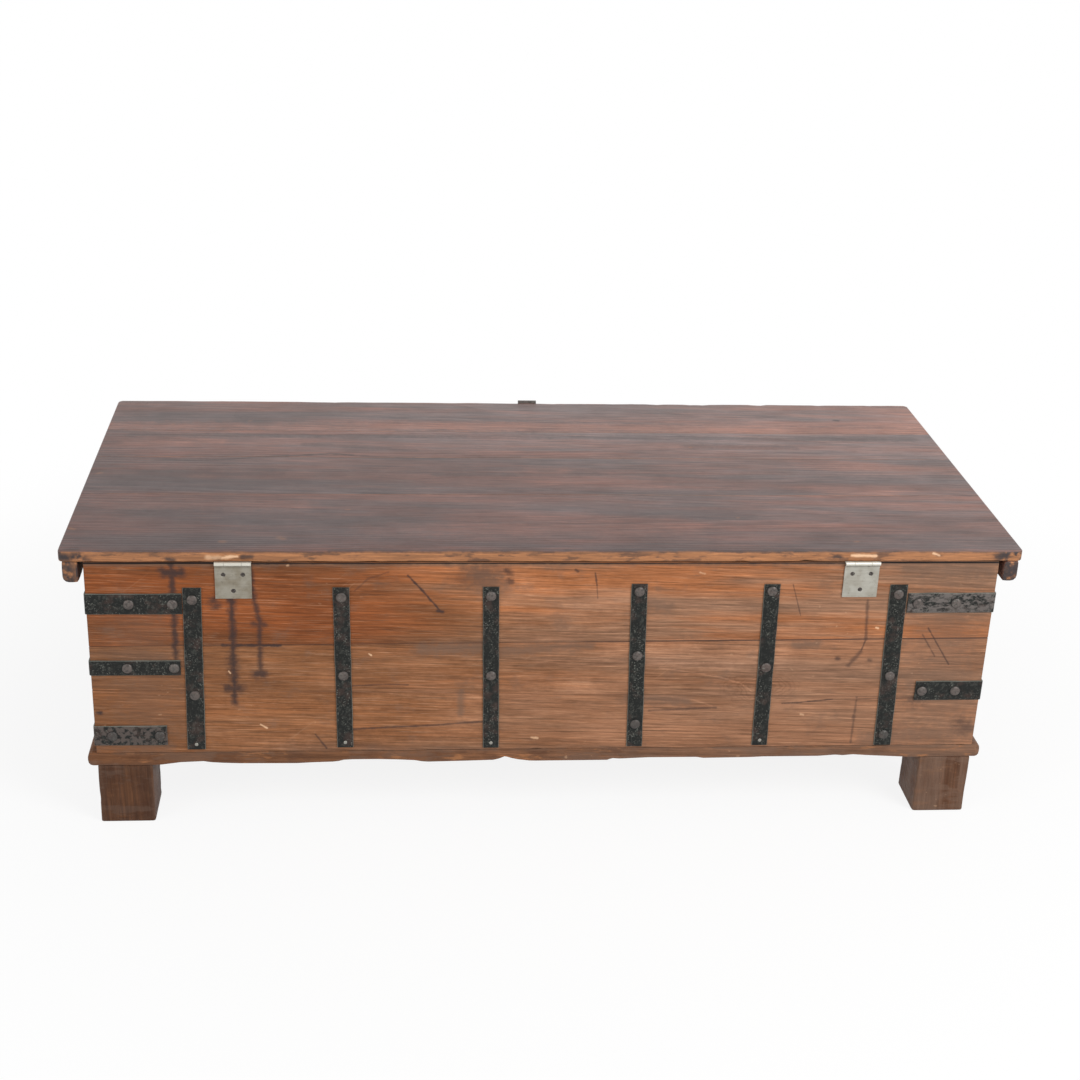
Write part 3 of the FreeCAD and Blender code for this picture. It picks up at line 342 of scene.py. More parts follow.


# Marks on the back wall, in millimetres: X and Z along each stroke, then half width, softness and strength. Most are
# stains; the last three are painted shadow along the top of the wall under the lid
WALL_STAINS_AND_SHADE = (
    (-511, 404, -511, 262, 1.8, 5.7, 0.85), (-521, 390, -499, 389, 6, 6.9, 0.9), (-510, 338, -510, 318, 4.5, 5.7, 0.7),
    (-433, 354, -433.5, 192, 2.7, 5.7, 0.9), (-434, 262, -434, 234, 6.7, 5.7, 0.85),
    (-440, 214, -428, 213, 6, 8, 0.85), (-433, 350, -433, 335, 6, 5.7, 0.8),
    (-407, 398, -403, 350, -396, 318, -397, 244, 2.1, 4.6, 0.8), (-404, 312, -390, 311, 3.7, 4.6, 0.7),
    (-402, 235, -394, 234, 7.5, 6.9, 0.85), (-457, 346, -454, 342, 6, 6.9, 0.75),
    (-447, 280, -369, 279.5, 1.8, 2, 0.95), (-195, 385, -175, 362, -151, 332, 1.2, 1.6, 0.9),
    (-154, 332, -147, 330, 2.4, 2, 0.9), (-61, 391, -56, 388, 4, 4, 0.8), (-57, 379, -53, 376, 3, 4, 0.7),
    (-267, 362, -249, 380, -221, 390, 0.7, 1.6, 0.4), (-272, 147, -233, 149, -163, 152, -85, 158, 1, 2, 0.75),
    (-272, 216, -233, 218, -194, 217, 0.6, 1.4, 0.6), (148, 173, 190, 175, 244, 177, 0.6, 2.4, 0.55),
    (339, 183, 362, 184, 412, 189, 0.6, 1.2, 0.8), (430, 189, 534, 190, 0.5, 1, 0.5),
    (-323, 139, -308, 117, 1, 1.6, 0.7), (-622, 177, -617, 177, 2.2, 3, 0.9), (34, 393, 37, 391, 1.4, 2, 0.7),
    (61, 388, 64, 370, 0.9, 1.4, 0.75), (64, 370, 66, 350, 0.5, 1.2, 0.5), (338, 370, 353, 322, 0.6, 1, 0.6),
    (446, 346, 450, 284, 1.2, 2.8, 0.6), (450, 284, 445, 266, 0.6, 1.4, 0.7), (444, 264, 430, 244, 2.6, 3.4, 0.6),
    (412, 255, 414, 254, 2.6, 2.8, 0.7), (458, 252, 460, 251, 2, 2.8, 0.6), (538, 302, 575, 244, 0.6, 1.4, 0.7),
    (531, 292, 553, 257, 0.6, 1.2, 0.55), (447, 196, 446, 118, 0.8, 2, 0.5), (446, 163, 446, 159, 2, 3, 0.6),
    (530, 193, 538, 191, 6, 13.8, 0.5), (606, 145, 614, 141, 6, 13.8, 0.45), (-75, 392, -120, 380, 10, 16, 0.3),
    # Painted shadow along the top of the wall, under the lid
    (-404, 403.4, 405, 403.6, 1.8, 1.2, 1), (-640, 404.6, -456, 404.6, 0.6, 0.6, 0.9),
    (456, 404.6, 640, 404.6, 0.6, 0.6, 0.8),
)
# Places on the back wall where the wood is brighter
WALL_GLOWS = (
    (-405, 150, -370, 146, 4, 10, 0.35), (-222, 176, -216, 168, 3, 6, 0.35), (-592, 283, -588, 280, 3, 4, 0.35),
    (-591, 392, -586, 390, 3, 5, 0.35), (-60, 345, 100, 350, 14, 45, 0.35), (-70, 236, 110, 236, 12, 30, 0.35),
    (90, 262, 330, 256, 10, 22, 0.4), (320, 296, 500, 294, 4, 12, 0.4), (-250, 170, -110, 175, 20, 40, 0.55),
    (-460, 165, -310, 160, 20, 40, 0.5), (-400, 247, -310, 245, 12, 26, 0.35), (-260, 258, -110, 250, 12, 26, 0.35),
    (159, 241, 203, 234, 246, 226, 276, 216, 294, 202, 0.3, 1.8, 0.7),
    (134, 195, 169, 196, 206, 191, 238, 180, 0.3, 1.8, 0.6),
)
# Knots on the back wall: X, Z and how far the rings reach
WALL_KNOTS = (
    (304, 210, 42),
)
# Weathered grey patches and dirt, and two broad patches that make the wall greyer towards both ends
WALL_GRIME = (
    (-175, 272, -85, 275, 5, 12, 0.75), (-75, 268, 10, 274, 3, 10, 0.6), (10, 276, 60, 277, 2, 8, 0.6),
    (350, 276, 380, 277, 4, 8, 0.7), (120, 195, 200, 188, 4, 12, 0.6), (130, 342, 165, 336, 4, 14, 0.6),
    # The first two marks below make the wall greyer towards both ends
    (-560, 300, -550, 180, 20, 70, 0.35), (560, 330, 570, 180, 20, 70, 0.45), (500, 395, 610, 392, 6, 16, 0.7),
    (470, 125, 620, 135, 6, 18, 0.6), (-620, 130, -530, 122, 6, 14, 0.5), (-640, 402, 640, 402, 2, 4, 0.6),
    (-120, 206, -119, 172, 3, 6, 0.6), (-100, 386, -75, 372, 10, 20, 0.7),
)
# Knocks down to fresh wood
WALL_CHIPS = (
    (-248, 266, -245, 264, 1.2, 1, 0.9), (-399, 156, -390, 150, 1, 1.2, 0.9), (-18, 131, -10, 130, 1, 2, 0.7),
    (-440, 240, -438, 237, 1, 1, 0.8), (463, 303, 466, 302, 1.2, 1, 0.8), (368, 165, 372, 164, 1, 2, 0.6),
    (206, 389, 213, 387, 0.8, 1.6, 0.4), (-357, 400, -356, 400.2, 1.2, 1.4, 0.5),
)
# Marks on the lid, as X and Y: dark ones, then warm streaks, then chips. The dark ones are stains, with two that run
# along the near edge as painted shade
LID_STAINS_AND_SHADE = (
    (-557, 22.5, -509, 22.5, -456, 26.5, -418, 37.5, 1.2, 3, 0.75),
    (-418, 37.5, -359, 43.5, -310, 52.5, -275, 46.5, 1.6, 4, 0.85),
    (-275, 46.5, -240, 39.5, -150, 34, -20, 40, 1, 4, 0.55), (-620, 131, -100, 133, 3, 12, 0.5),
    (-100, 133, 620, 128, 3, 14, 0.4), (-350, 93, -180, 70, 2, 8, 0.4), (-450, 205, -420, 190, 8, 20, 0.45),
    (-150, -34, 100, -30, 3, 10, 0.45), (-580, -30, -380, -34, 4, 14, 0.45), (250, 92, 420, 88, 4, 12, 0.45),
    (516, 217, 522, 216, 2, 4, 0.8), (10, -20, 30, -17, 4, 14, 0.35), (-646, -310, -636, -309, 4, 6, 0.6),
    # The first two marks below are painted shade along the lid's near edge
    (-300, -312, -20, -314, 1, 6, 0.6), (20, -312, 400, -314, 1, 5, 0.5), (-600, -55, -200, -60, 20, 45, 0.18),
    (220, -55, 520, -60, 20, 50, 0.22),
)
LID_WARM = (
    (-660, 170, 0, 176, 18, 16, 0.65), (0, 176, 660, 168, 14, 18, 0.55), (-620, 100, -480, 104, 4, 16, 0.5),
    (-505, -43, -480, -45, 6, 10, 0.5), (0, -18, 40, -18, 8, 16, 0.5), (-620, -150, -350, -152, 10, 25, 0.4),
    (440, -112, 520, -108, 10, 20, 0.5), (-250, -240, 200, -240, 10, 30, 0.3),
)
LID_CHIPS = (
    (-561, 179, -558, 180, 1.2, 3, 0.6), (-443, 197, -440, 198, 1.5, 3, 0.5), (-281, -169.5, -276, -170, 1.4, 1, 0.8),
    (-370, -270, -364, -272, 2, 6, 0.5), (-447, -282, -443, -283, 2, 5, 0.45), (-655, -238, -650, -240, 1.5, 4, 0.6),
    (-648, -33, -643, -31, 1.5, 4, 0.5), (253, 87, 256, 86, 1.2, 2, 0.7), (277, -198, 280, -197, 1.2, 2, 0.6),
    (428, -284, 432, -283, 1.2, 3, 0.6),
)
# Places along the lid's back edge where it has broken to fresh wood, and dark ones, as X and Z. The dark ones are
# stains, with a last one along the top arris as painted shade
EDGE_CHIPS = (
    (-443, 411.5, -424, 413.5, 1.8, 2, 1), (-463, 412, -446, 412, 2.2, 3, 0.6), (416, 414.5, 450, 413.5, 1.6, 2, 1),
    (531, 417.5, 540, 414, 1, 1.6, 0.9),
)
EDGE_STAINS_AND_SHADE = (
    (-652, 414, -642, 415, 3, 4, 0.8), (-516, 409, -508, 408, 2.5, 4, 0.85), (-416, 413, -404, 413, 3, 3, 0.8),
    # The last mark below is painted shade along the top of the lid's back edge
    (622, 412, 636, 413, 2, 4, 0.8), (392, 413, 399, 412, 2.5, 4, 0.8), (-600, 419.3, 620, 419.3, 0.4, 2, 0.6),
)
# Where the plank along the lid's back edge lies behind
LID_BACK = -300


class Coat(Tree):
    """The tree of a material, with the colour that it has so far."""

    def __init__(self, name):
        self.material = bpy.data.materials.new(name)
        self.material.use_nodes = True
        super().__init__(self.material.node_tree)
        self.place, self.normal = self.here()
        self.noise = self.place.noise
        self.parts = self.x, self.y, self.z = self.place.parts()

    def lay(self, tint, share, *more):
        """Another colour over the last, by the product of those shares."""
        for part in more:
            share = share * part
        self.colour = self.mix(share, self.colour, tint)

    def times(self, *rgb):
        return self.mix(1.0, self.colour, rgb, "MULTIPLY")

    def shade(self, share, amount):
        """The colour made darker or lighter by a share that is even at a half."""
        value = self.ramp(share, (0.25, 1 - amount), (0.75, 1 + amount))
        grey = self.out("ShaderNodeCombineColor", {0: value, 1: value, 2: value})
        self.colour = self.mix(1.0, self.colour, grey, "MULTIPLY")

    def facing(self, axis, sign):
        """A mask of the surfaces that face one way along an axis."""
        return (self.normal.parts()[axis] * sign).step(0.4, 0.7)

    def flat(self, up):
        return self.out("ShaderNodeCombineXYZ", {0: self.x, 1: self.parts[up]})

    def strokes(self, up, table):
        """One mask for a table of strokes."""
        whole, flat = None, self.flat(up)
        for *line, half_width, softness, strength in table:
            spots = [(a * MM, b * MM, 0) for a, b in zip(line[::2], line[1::2])]
            for start, end in zip(spots, spots[1:]):
                mask = self.effect(
                    "Stroke", Place=flat, Start=start, End=end, Half_width=half_width * MM, Softness=softness * MM,
                    Strength=strength,
                )["Mask"]
                whole = whole.max(mask) if whole else mask
        return whole

    def marks(self, up, table, low=-1000, high=1000):
        """A table's marks between two places: on the back face where up is Z, and on the top where up is Y."""
        shown = [row for row in table if low < max(row[1:-3:2]) and min(row[1:-3:2]) < high]
        if not shown:
            return 0.0
        return self.strokes(up, shown) * (self.facing(Y, -1) if up == Z else self.facing(Z, 1))

    def finish(self, roughness, height, strength, distance, **constants):
        bump = self.out("ShaderNodeBump", {"Height": height, "Strength": strength, "Distance": distance})
        given = {word.replace("_", " "): value for word, value in constants.items()}
        given.update({"Base Color": self.colour, "Roughness": roughness, "Normal": bump})
        self.node("ShaderNodeOutputMaterial", {"Surface": self.out("ShaderNodeBsdfPrincipled", given)})
        return self.material


def sawn(coat, spacing, wander, scuffed):
    """The colours of the woods, and this one's grain and scuffs."""
    wood = bpy.context.scene.chest_wood
    grain = coat.effect("Plank grain", Spacing=wood.ring_spacing * spacing, Wander=wander)
    return wood, grain, coat.effect("Scuffs", Amount=scuffed)


def lid_wood(coat, low=0, high=0):
    """Dark waxed planks, grey and brown along the grain, with the marks between two depths."""
    wood, grain, scuff = sawn(coat, 1.5, 1.2, 0.6)
    back = coat.facing(Y, -1)
    coat.colour = coat.mix(grain["Bands"].step(0.36, 0.62), wood.lid_grey, wood.lid_brown)
    coat.lay(wood.lid_warm, grain["Streaks"].step(0.5, 0.7), 0.4)
    coat.lay(wood.lid_warm, coat.marks(Y, LID_WARM, low, high))
    coat.lay(wood.lid_dark, grain["Streaks"].step(0.46, 0.3), 0.35)
    coat.shade(grain["Cloud"], 0.42)
    coat.lay(wood.lid_dark, grain["Dark lines"], 0.35)
    coat.lay(wood.lid_dark, grain["Rings"], 0.25)
    coat.shade(grain["Fibre"], 0.6)
    coat.lay(wood.wall_grey, grain["Pale lines"], 0.16)
    coat.shade(coat.attribute("tone"), 0.2)
    # Painted sheen: the lid is brightened and greyed towards the far right, where the white studio would show in its
    # wax
    painted_light = (coat.y * 0.9 + coat.x * 0.35).step(-0.5, 0.75)
    coat.colour = coat.mix(painted_light, coat.times(0.94, 0.75, 0.72), coat.times(2.9, 2.65, 2.5))
    # Stains, and painted shade along the near edge
    coat.lay(wood.lid_dark, coat.marks(Y, LID_STAINS_AND_SHADE, low, high))
    coat.lay(wood.edge_raw, (scuff["Chips"] * 0.4).max(coat.marks(Y, LID_CHIPS, low, high)), 0.6)
    top = coat.colour
    mottle = coat.noise((12, 60, 300), 4, 0.75).step(0.42, 0.6)
    coat.colour = coat.mix(mottle * 0.6, wood.edge_raw, wood.wall_tan)
    coat.lay(wood.lid_dark, coat.noise((30, 55, 120), 4, 0.65).step(0.5, 0.62), 0.6 if low < high else 0.95)
    coat.lay(wood.lid_dark, coat.x.calc("ABSOLUTE").step(0.612, 0.632), coat.noise(60, 3).step(0.62, 0.48))
    coat.shade(grain["Fibre"], 0.5)
    if low < LID_BACK:
        # Stains on the back edge, and a painted shade line along its top
        coat.lay(wood.lid_dark, coat.marks(Z, EDGE_STAINS_AND_SHADE))
        coat.lay(wood.fresh_chip, coat.marks(Z, EDGE_CHIPS))
    coat.colour = coat.mix(back, top, coat.colour)
    coat.lay(wood.edge_raw, coat.attribute("edge"), scuff["Dirt"].step(0.45, 0.6), 0.5)
    roughness = back * 0.2 + scuff["Dirt"] * 0.2 + 0.34
    return coat.finish(roughness, grain["Height"] - scuff["Chips"] * 0.5, 0.35, 0.0008)


# The heights between which the top wall board is painted black under the lid, as painted shadow of the gap
LID_GAP = (0.4014, 0.403)


def wall_wood(coat, low=0, high=0):
    """Orange-brown boards with pale and dark grain, and the stains, knocks and painted shade between two heights."""
    wood, grain, scuff = sawn(coat, 1.0, 1.0, 0.5)
    tone = coat.attribute("tone")
    # Painted light: paler towards the right, and on the top board darker and warmer towards the left, as if lit from
    # the right
    right = (grain["Cloud"] - 0.5) * 1.2 + coat.x
    coat.colour = coat.mix(right.step(-0.45, 0.35), wood.wall_tan, wood.wall_faded)
    coat.lay(wood.wall_orange, grain["Bands"].step(0.42, 0.62), tone, 0.8)
    coat.lay(coat.times(0.8, 0.66, 0.55), coat.x.step(-0.08, -0.3), tone.step(0.5, 0.9))
    coat.shade(grain["Streaks"], 0.14)
    coat.shade(grain["Cloud"], 0.28)
    coat.lay(wood.wall_grey, grain["Bands"].step(0.46, 0.34), 0.28)
    coat.lay(wood.wall_pale, grain["Pale lines"], 0.25)
    coat.lay(wood.wall_dark, grain["Dark lines"], 0.32)
    coat.lay(wood.wall_dark, grain["Rings"], 0.12)
    coat.shade(grain["Fibre"], 0.6)
    coat.lay(wood.wall_grey, coat.attribute("edge"), scuff["Dirt"].step(0.4, 0.6), 0.5)
    coat.lay(wood.wall_grey, scuff["Dirt"].step(0.54, 0.75), 0.45)
    worn = (scuff["Chips"] * 0.35).max(scuff["Scratches"] * 0.15)
    if low < high:
        back = coat.facing(Y, -1)
        coat.lay(coat.times(1.62, 1.66, 1.72), coat.marks(Z, WALL_GLOWS, low, high))
        for x, z, reach in WALL_KNOTS:
            if low < z < high:
                rings = coat.effect("Knot rings", Place=coat.flat(Z), Centre=(x * MM, z * MM, 0), Reach=reach * MM)
                coat.lay(wood.wall_dark, rings["Mask"], back, 0.22)
        coat.lay(wood.wall_grey, coat.marks(Z, WALL_GRIME, low, high))
        # Stains, and painted shadow along the top of the wall
        coat.lay(wood.stain, coat.marks(Z, WALL_STAINS_AND_SHADE, low, high))
        # Painted shadow: the top of the back wall goes near black under the lid
        black = coat.mix(1.0, wood.stain, (0.15, 0.15, 0.15), "MULTIPLY")
        coat.lay(black, coat.z.step(*LID_GAP), back)
        worn = worn.max(coat.marks(Z, WALL_CHIPS, low, high))
    coat.lay(wood.fresh_chip, worn)
    # Painted shade in the seams between the boards, stronger towards the right
    coat.lay(wood.stain, coat.attribute("seam"), coat.x.step(0.0, 0.14) * 0.4 + 0.4)
    roughness = scuff["Dirt"] * 0.25 + 0.42
    return coat.finish(roughness, grain["Height"] - worn, 0.4, 0.0009, Specular_IOR_Level=0.16)


def foot_wood(coat, tan):
    """Darker wood with dirty, knocked edges, tanned like the walls by a share."""
    wood, grain, scuff = sawn(coat, 0.9, 0.5, 0.6)
    # Painted light: paler towards the right, as on the walls
    base = coat.mix(coat.x.step(-0.6, 0.6), wood.wall_tan, wood.wall_faded)
    coat.colour = coat.mix(tan * 0.55, wood.foot_brown, base)
    coat.lay(wood.wall_tan, grain["Cloud"].step(0.48, 0.66), 0.5)
    coat.shade(grain["Streaks"], 0.5)
    coat.lay(wood.wall_dark, scuff["Dirt"].step(0.45, 0.65), 0.5)
    coat.lay(wood.wall_dark, grain["Dark lines"], 0.5)
    coat.lay(wood.wall_dark, grain["Rings"], 0.3)
    coat.lay(wood.wall_grey, grain["Pale lines"], 0.25)
    coat.lay(wood.wall_grey, coat.x.step(0.0, 0.5), grain["Bands"].step(0.4, 0.6), 0.8)
    coat.lay(wood.wall_grey, coat.noise((14, 30, 60), 4, 0.65).step(0.5, 0.6), 0.5)
    coat.lay(wood.edge_raw, coat.noise((22, 30, 90), 4, 0.65).step(0.56, 0.68), 0.1 + 0.6 * tan)
    coat.shade(grain["Fibre"], 0.25)
    # Painted shade: the feet on the left are darker
    coat.lay(coat.times(0.74, 0.75, 0.78), coat.x.step(0.3, -0.3), 1 - tan)
    coat.lay(wood.wall_grey, coat.attribute("edge"), scuff["Dirt"].step(0.4, 0.6), 0.5)
    coat.lay(wood.fresh_chip, scuff["Chips"], 0.4)
    return coat.finish(scuff["Dirt"] * 0.3 + 0.4, grain["Height"], 0.4, 0.0009, Specular_IOR_Level=0.16)


def black_iron(coat):
    """Thick black paint with grey flecks and some rust, rubbed through on two of the bands."""
    iron = bpy.context.scene.chest_iron
    paint = coat.effect("Speckled paint", Rust_share=0.45)
    coat.colour = coat.mix(paint["Rust"], iron.paint, iron.rust)
    coat.lay(iron.flake, paint["Flakes"], 0.6)
    low_left = coat.x.step(-0.505, -0.512) * coat.z.step(0.17, 0.16)
    coat.lay(iron.rivet, low_left, coat.noise(180, 3).step(0.42, 0.56), 0.85)
    high_right = coat.x.step(0.502, 0.506) * coat.z.step(0.32, 0.33)
    coat.lay(iron.worn, high_right, coat.noise((80, 120, 190), 4, 0.75).step(0.4, 0.56), 0.8)
    # Pale edges: paint worn thin, and a painted highlight along them
    coat.lay(iron.flake, coat.attribute("edge"), 0.75)
    return coat.finish(paint["Rust"] * 0.4 + 0.45, paint["Height"], 0.6, 0.0014, Specular_IOR_Level=0.2)


def rivet_iron(coat):
    """Hammered heads, brown with wear, black low down, and painted shade round each head's rim."""
    iron = bpy.context.scene.chest_iron
    paint = coat.effect("Speckled paint", Rust_share=0.8)
    patchy = coat.noise(260, 3).step(0.45, 0.62) * 0.5
    coat.colour = coat.mix((coat.z.step(0.22, 0.12) * 0.7).max(patchy), iron.rivet, iron.paint)
    coat.lay(iron.rust, paint["Rust"], 0.6)
    coat.lay(iron.flake, paint["Flakes"], 0.55)
    # Painted shade: the rim of each head goes black
    coat.lay(iron.paint, coat.attribute("edge"), 0.85)
    return coat.finish(paint["Rust"] * 0.3 + 0.42, paint["Height"], 0.5, 0.001, Metallic=0.2)


def zinc_steel(coat):
    """Dull galvanised plate, paler on the right-hand hinge and in patches, with grime, dark rings round its screws, a
    painted highlight along the knuckles' tops and a painted shadow line below them.
    """
    zinc = bpy.context.scene.chest_zinc
    patch = coat.noise(60, 3).step(0.35, 0.65)
    coat.colour = coat.mix(coat.x.step(-0.3, 0.3) * 0.6 + patch * 0.4, zinc.zinc, zinc.zinc_pale)
    grime = coat.noise((150, 150, 210), 4, 0.6).step(0.55, 0.75)
    coat.lay(zinc.screw, grime, 0.3)
    # Painted shadow: a dark line along the leaf's top, just below the knuckles
    line = coat.z.step(0.398, 0.399) * coat.z.step(0.4014, 0.4004)
    middles = [(low + high) / 2 / MM for low, high in islands("box_hinge_screws")]
    rings = coat.strokes(Z, [(p.x, p.z, p.x, p.z, 2.8, 1.2, 0.55) for p in middles])
    coat.lay(zinc.screw, rings.max(line * 0.5))
    # Painted highlight along the upper part of the knuckles
    coat.lay(zinc.zinc_bright, coat.z.step(0.4012, 0.402), 0.7)
    brushed = coat.noise((40, 900, 900))
    coat.shade(brushed, 0.08)
    return coat.finish(grime * 0.2 + 0.42, brushed, 0.15, 0.0003, Metallic=0.55)


def screw_steel(coat, pale=0.0):
    """Screw heads gone dark, painted bright by a share as a painted highlight."""
    zinc = bpy.context.scene.chest_zinc
    paint = coat.effect("Speckled paint", Rust_share=0.6)
    # Painted highlight: a share of bright zinc over the dark heads
    coat.colour = coat.mix(pale, zinc.screw, zinc.zinc_bright)
    coat.lay(zinc.zinc_pale, paint["Flakes"], 0.6)
    return coat.finish(paint["Rust"] * 0.3 + 0.4, paint["Height"], 0.3, 0.0004, Metallic=0.5)


# Each finish: how it is made, its slot, and the places in mm between which a lid plank's or back board's marks lie
FINISHES = {
    "lid wood": (lid_wood, "lid_wood"),
    "lid wood 1": (lid_wood, "lid_wood", -320, -112),
    "lid wood 2": (lid_wood, "lid_wood", -113, 38),
    "lid wood 3": (lid_wood, "lid_wood", 37, 153),
    "lid wood 4": (lid_wood, "lid_wood", 152, 300),
    "wall wood": (wall_wood, "body_wood"),
    "back wood top": (wall_wood, "body_wood", 272, 410),
    "back wood middle": (wall_wood, "body_wood", 200, 295),
    "back wood bottom": (wall_wood, "body_wood", 100, 222),
    "floor wood": (foot_wood, "body_wood", 1.0),
    "foot wood": (foot_wood, "foot_wood", 0.0),
    "black iron": (black_iron, "black_iron"),
    "rivet iron": (rivet_iron, "rivet_iron"),
    "zinc steel": (zinc_steel, "hinge_steel"),
    "screw steel": (screw_steel, "hinge_steel"),
    "nail steel": (screw_steel, "rivet_iron"),
    "rubbed nail steel": (screw_steel, "rivet_iron", 0.35),
}


# Meshes. Edges turn sharp beyond this angle, and corners closer than this are joined
SHARP_ANGLE, JOIN_GAP = math.radians(38), 1e-6


def add_piece(name, mesh, finish, node):
    """A piece that stands for a CAD node, rides with it and has that finish."""
    piece = bpy.data.objects.new(name, mesh)
    bpy.context.scene.collection.objects.link(piece)
    build, slot, *choice = FINISHES[finish]
    mesh.materials.clear()
    mesh.materials.append(bpy.data.materials.get(finish) or build(Coat(finish), *choice))
    mesh.shade_smooth()
    mesh.set_sharp_from_angle(angle=SHARP_ANGLE)
    bodies = frame["record"]["behaviour"]["bodies"]
    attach(piece, next(body for body, members in bodies.items() if node in members))
    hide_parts(node)
    return piece


def write_layer(mesh, name, values, kind="FLOAT"):
    layer = mesh.attributes.new(name, kind, "POINT")
    layer.data.foreach_set("vector" if kind == "FLOAT_VECTOR" else "value", values)


def jitter(*numbers):
    """Smooth noise from -1 to 1 at a place."""
    return noise.noise(Vector((*numbers, 0.0, 0.0)[:3]))


def bridge(tool, rings, capped=True):
    """Faces from each ring of points to the next, and over both ends."""
    for first, second in zip(rings, rings[1:]):
        for k in range(len(first)):
            n = (k + 1) % len(first)
            tool.faces.new((first[k], first[n], second[n], second[k]))
    for ring in (rings[0], rings[-1]) if capped else ():
        tool.faces.new(ring)


def new_mesh(tool, name, wear=None):
    """A finished mesh, with its edge wear."""
    bmesh.ops.recalc_face_normals(tool, faces=tool.faces)
    mesh = bpy.data.meshes.new(name)
    tool.to_mesh(mesh)
    tool.free()
    if wear:
        write_layer(mesh, "edge", wear)
    return mesh


# The four corners of a board's section: which sides, and the angle where each arc starts
CORNERS = ((-1, -1, 180), (1, -1, 270), (1, 1, 0), (-1, 1, 90))
ARC_SHARES = (0, 1 / 3, 2 / 3, 1)
# Crisp corners where a board meets the next one, with how dark the painted shade in their seam is
LOW_SEAM, HIGH_SEAM = {0: 1.0, 3: 1.0}, {1: 1.0, 2: 1.0}
# The radius of a crisp corner, and how far the wear reaches onto the flats: by a seam, and at most elsewhere
CRISP = 0.0004
SEAM_REACH, WEAR_REACH = 0.0011, 0.006
# Round the hollow under a worn edge: how far in, share of the lift, and edge wear
HOLLOW = ((0.0, 1.0, 1.0), (0.0015, 0.96, 1.0), (0.014, 0.8, 0.6), (0.019, 0.1, 0.3))


def worn_section(low, high, rounds, strays, seams):
    """Points round a rectangle with worn corners, and each one's share of edge wear, below zero for a seam painted
    dark as shade.
    """
    points = []
    widest = [min(WEAR_REACH, 0.25 * (high[k] - low[k])) for k in (0, 1)]
    for number, ((*sides, start), radius, stray) in enumerate(zip(CORNERS, rounds, strays)):
        centre = [(low, high)[side > 0][k] - side * (radius[k] + stray) for k, side in enumerate(sides)]
        reach = [SEAM_REACH] * 2 if number in seams else widest
        for share in ARC_SHARES:
            angle = math.radians(start + 90 * share)
            spot = (centre[0] + radius[0] * math.cos(angle), centre[1] + radius[1] * math.sin(angle))
            wear = -seams[number] if number in seams else 1.0 if 0 < share < 1 else 0.55
            around = [(*spot, wear)]
            if share in (0, 1):
                around.insert(share, beside_arc(spot, angle, reach, 2 * share - 1, low, high))
            points += around
    return points


def beside_arc(spot, turn, reach, way, low, high):
    """A point on the flat beside a corner, where the wear has run out."""
    step = (-math.sin(turn) * way * reach[0], math.cos(turn) * way * reach[1])
    place = [spot[0] + step[0], spot[1] + step[1]]
    k = 1 if abs(step[0]) > abs(step[1]) else 0
    place[k] = low[k] if place[k] < (low[k] + high[k]) / 2 else high[k]
    return *place, 0.0


def hollowed(low, lift):
    """The points of a first corner with the wood worn away below it."""
    lift = max(0.0008, lift)
    inner = [(low[0] + reach, low[1] + lift * share, wear) for reach, share, wear in HOLLOW]
    return [(low[0], low[1] + lift + 0.003, 0.3), *inner, (low[0] + 0.024, low[1], 0.0)]


def board_stations(start, stop, pitch, rounding, breaks, extra):
    """Places along a board with how far its ends have turned in there."""
    turns = [math.radians(90 * share) for share in (1, 0.66, 0.33, 0)]
    ends = [(rounding * (1 - math.sin(turn)), 1 - math.cos(turn)) for turn in turns]
    places = [(start + gap, share) for gap, share in ends] + [(stop - gap, share) for gap, share in reversed(ends)]
    steps = max(1, round((stop - start) / pitch))
    middle = [start + (stop - start) * k / steps for k in range(1, steps)]
    middle += [start + gap for gap in extra] + [stop - gap for gap in extra]
    middle = [
        t for t in middle
        if start + rounding * 1.05 < t < stop - rounding * 1.05 and all(abs(t - mark) > 0.0004 for mark in breaks)
    ]
    middle += [mark + side for mark in breaks for side in (-1e-6, 1e-6)]
    return sorted(places + [(t, 0.0) for t in middle])


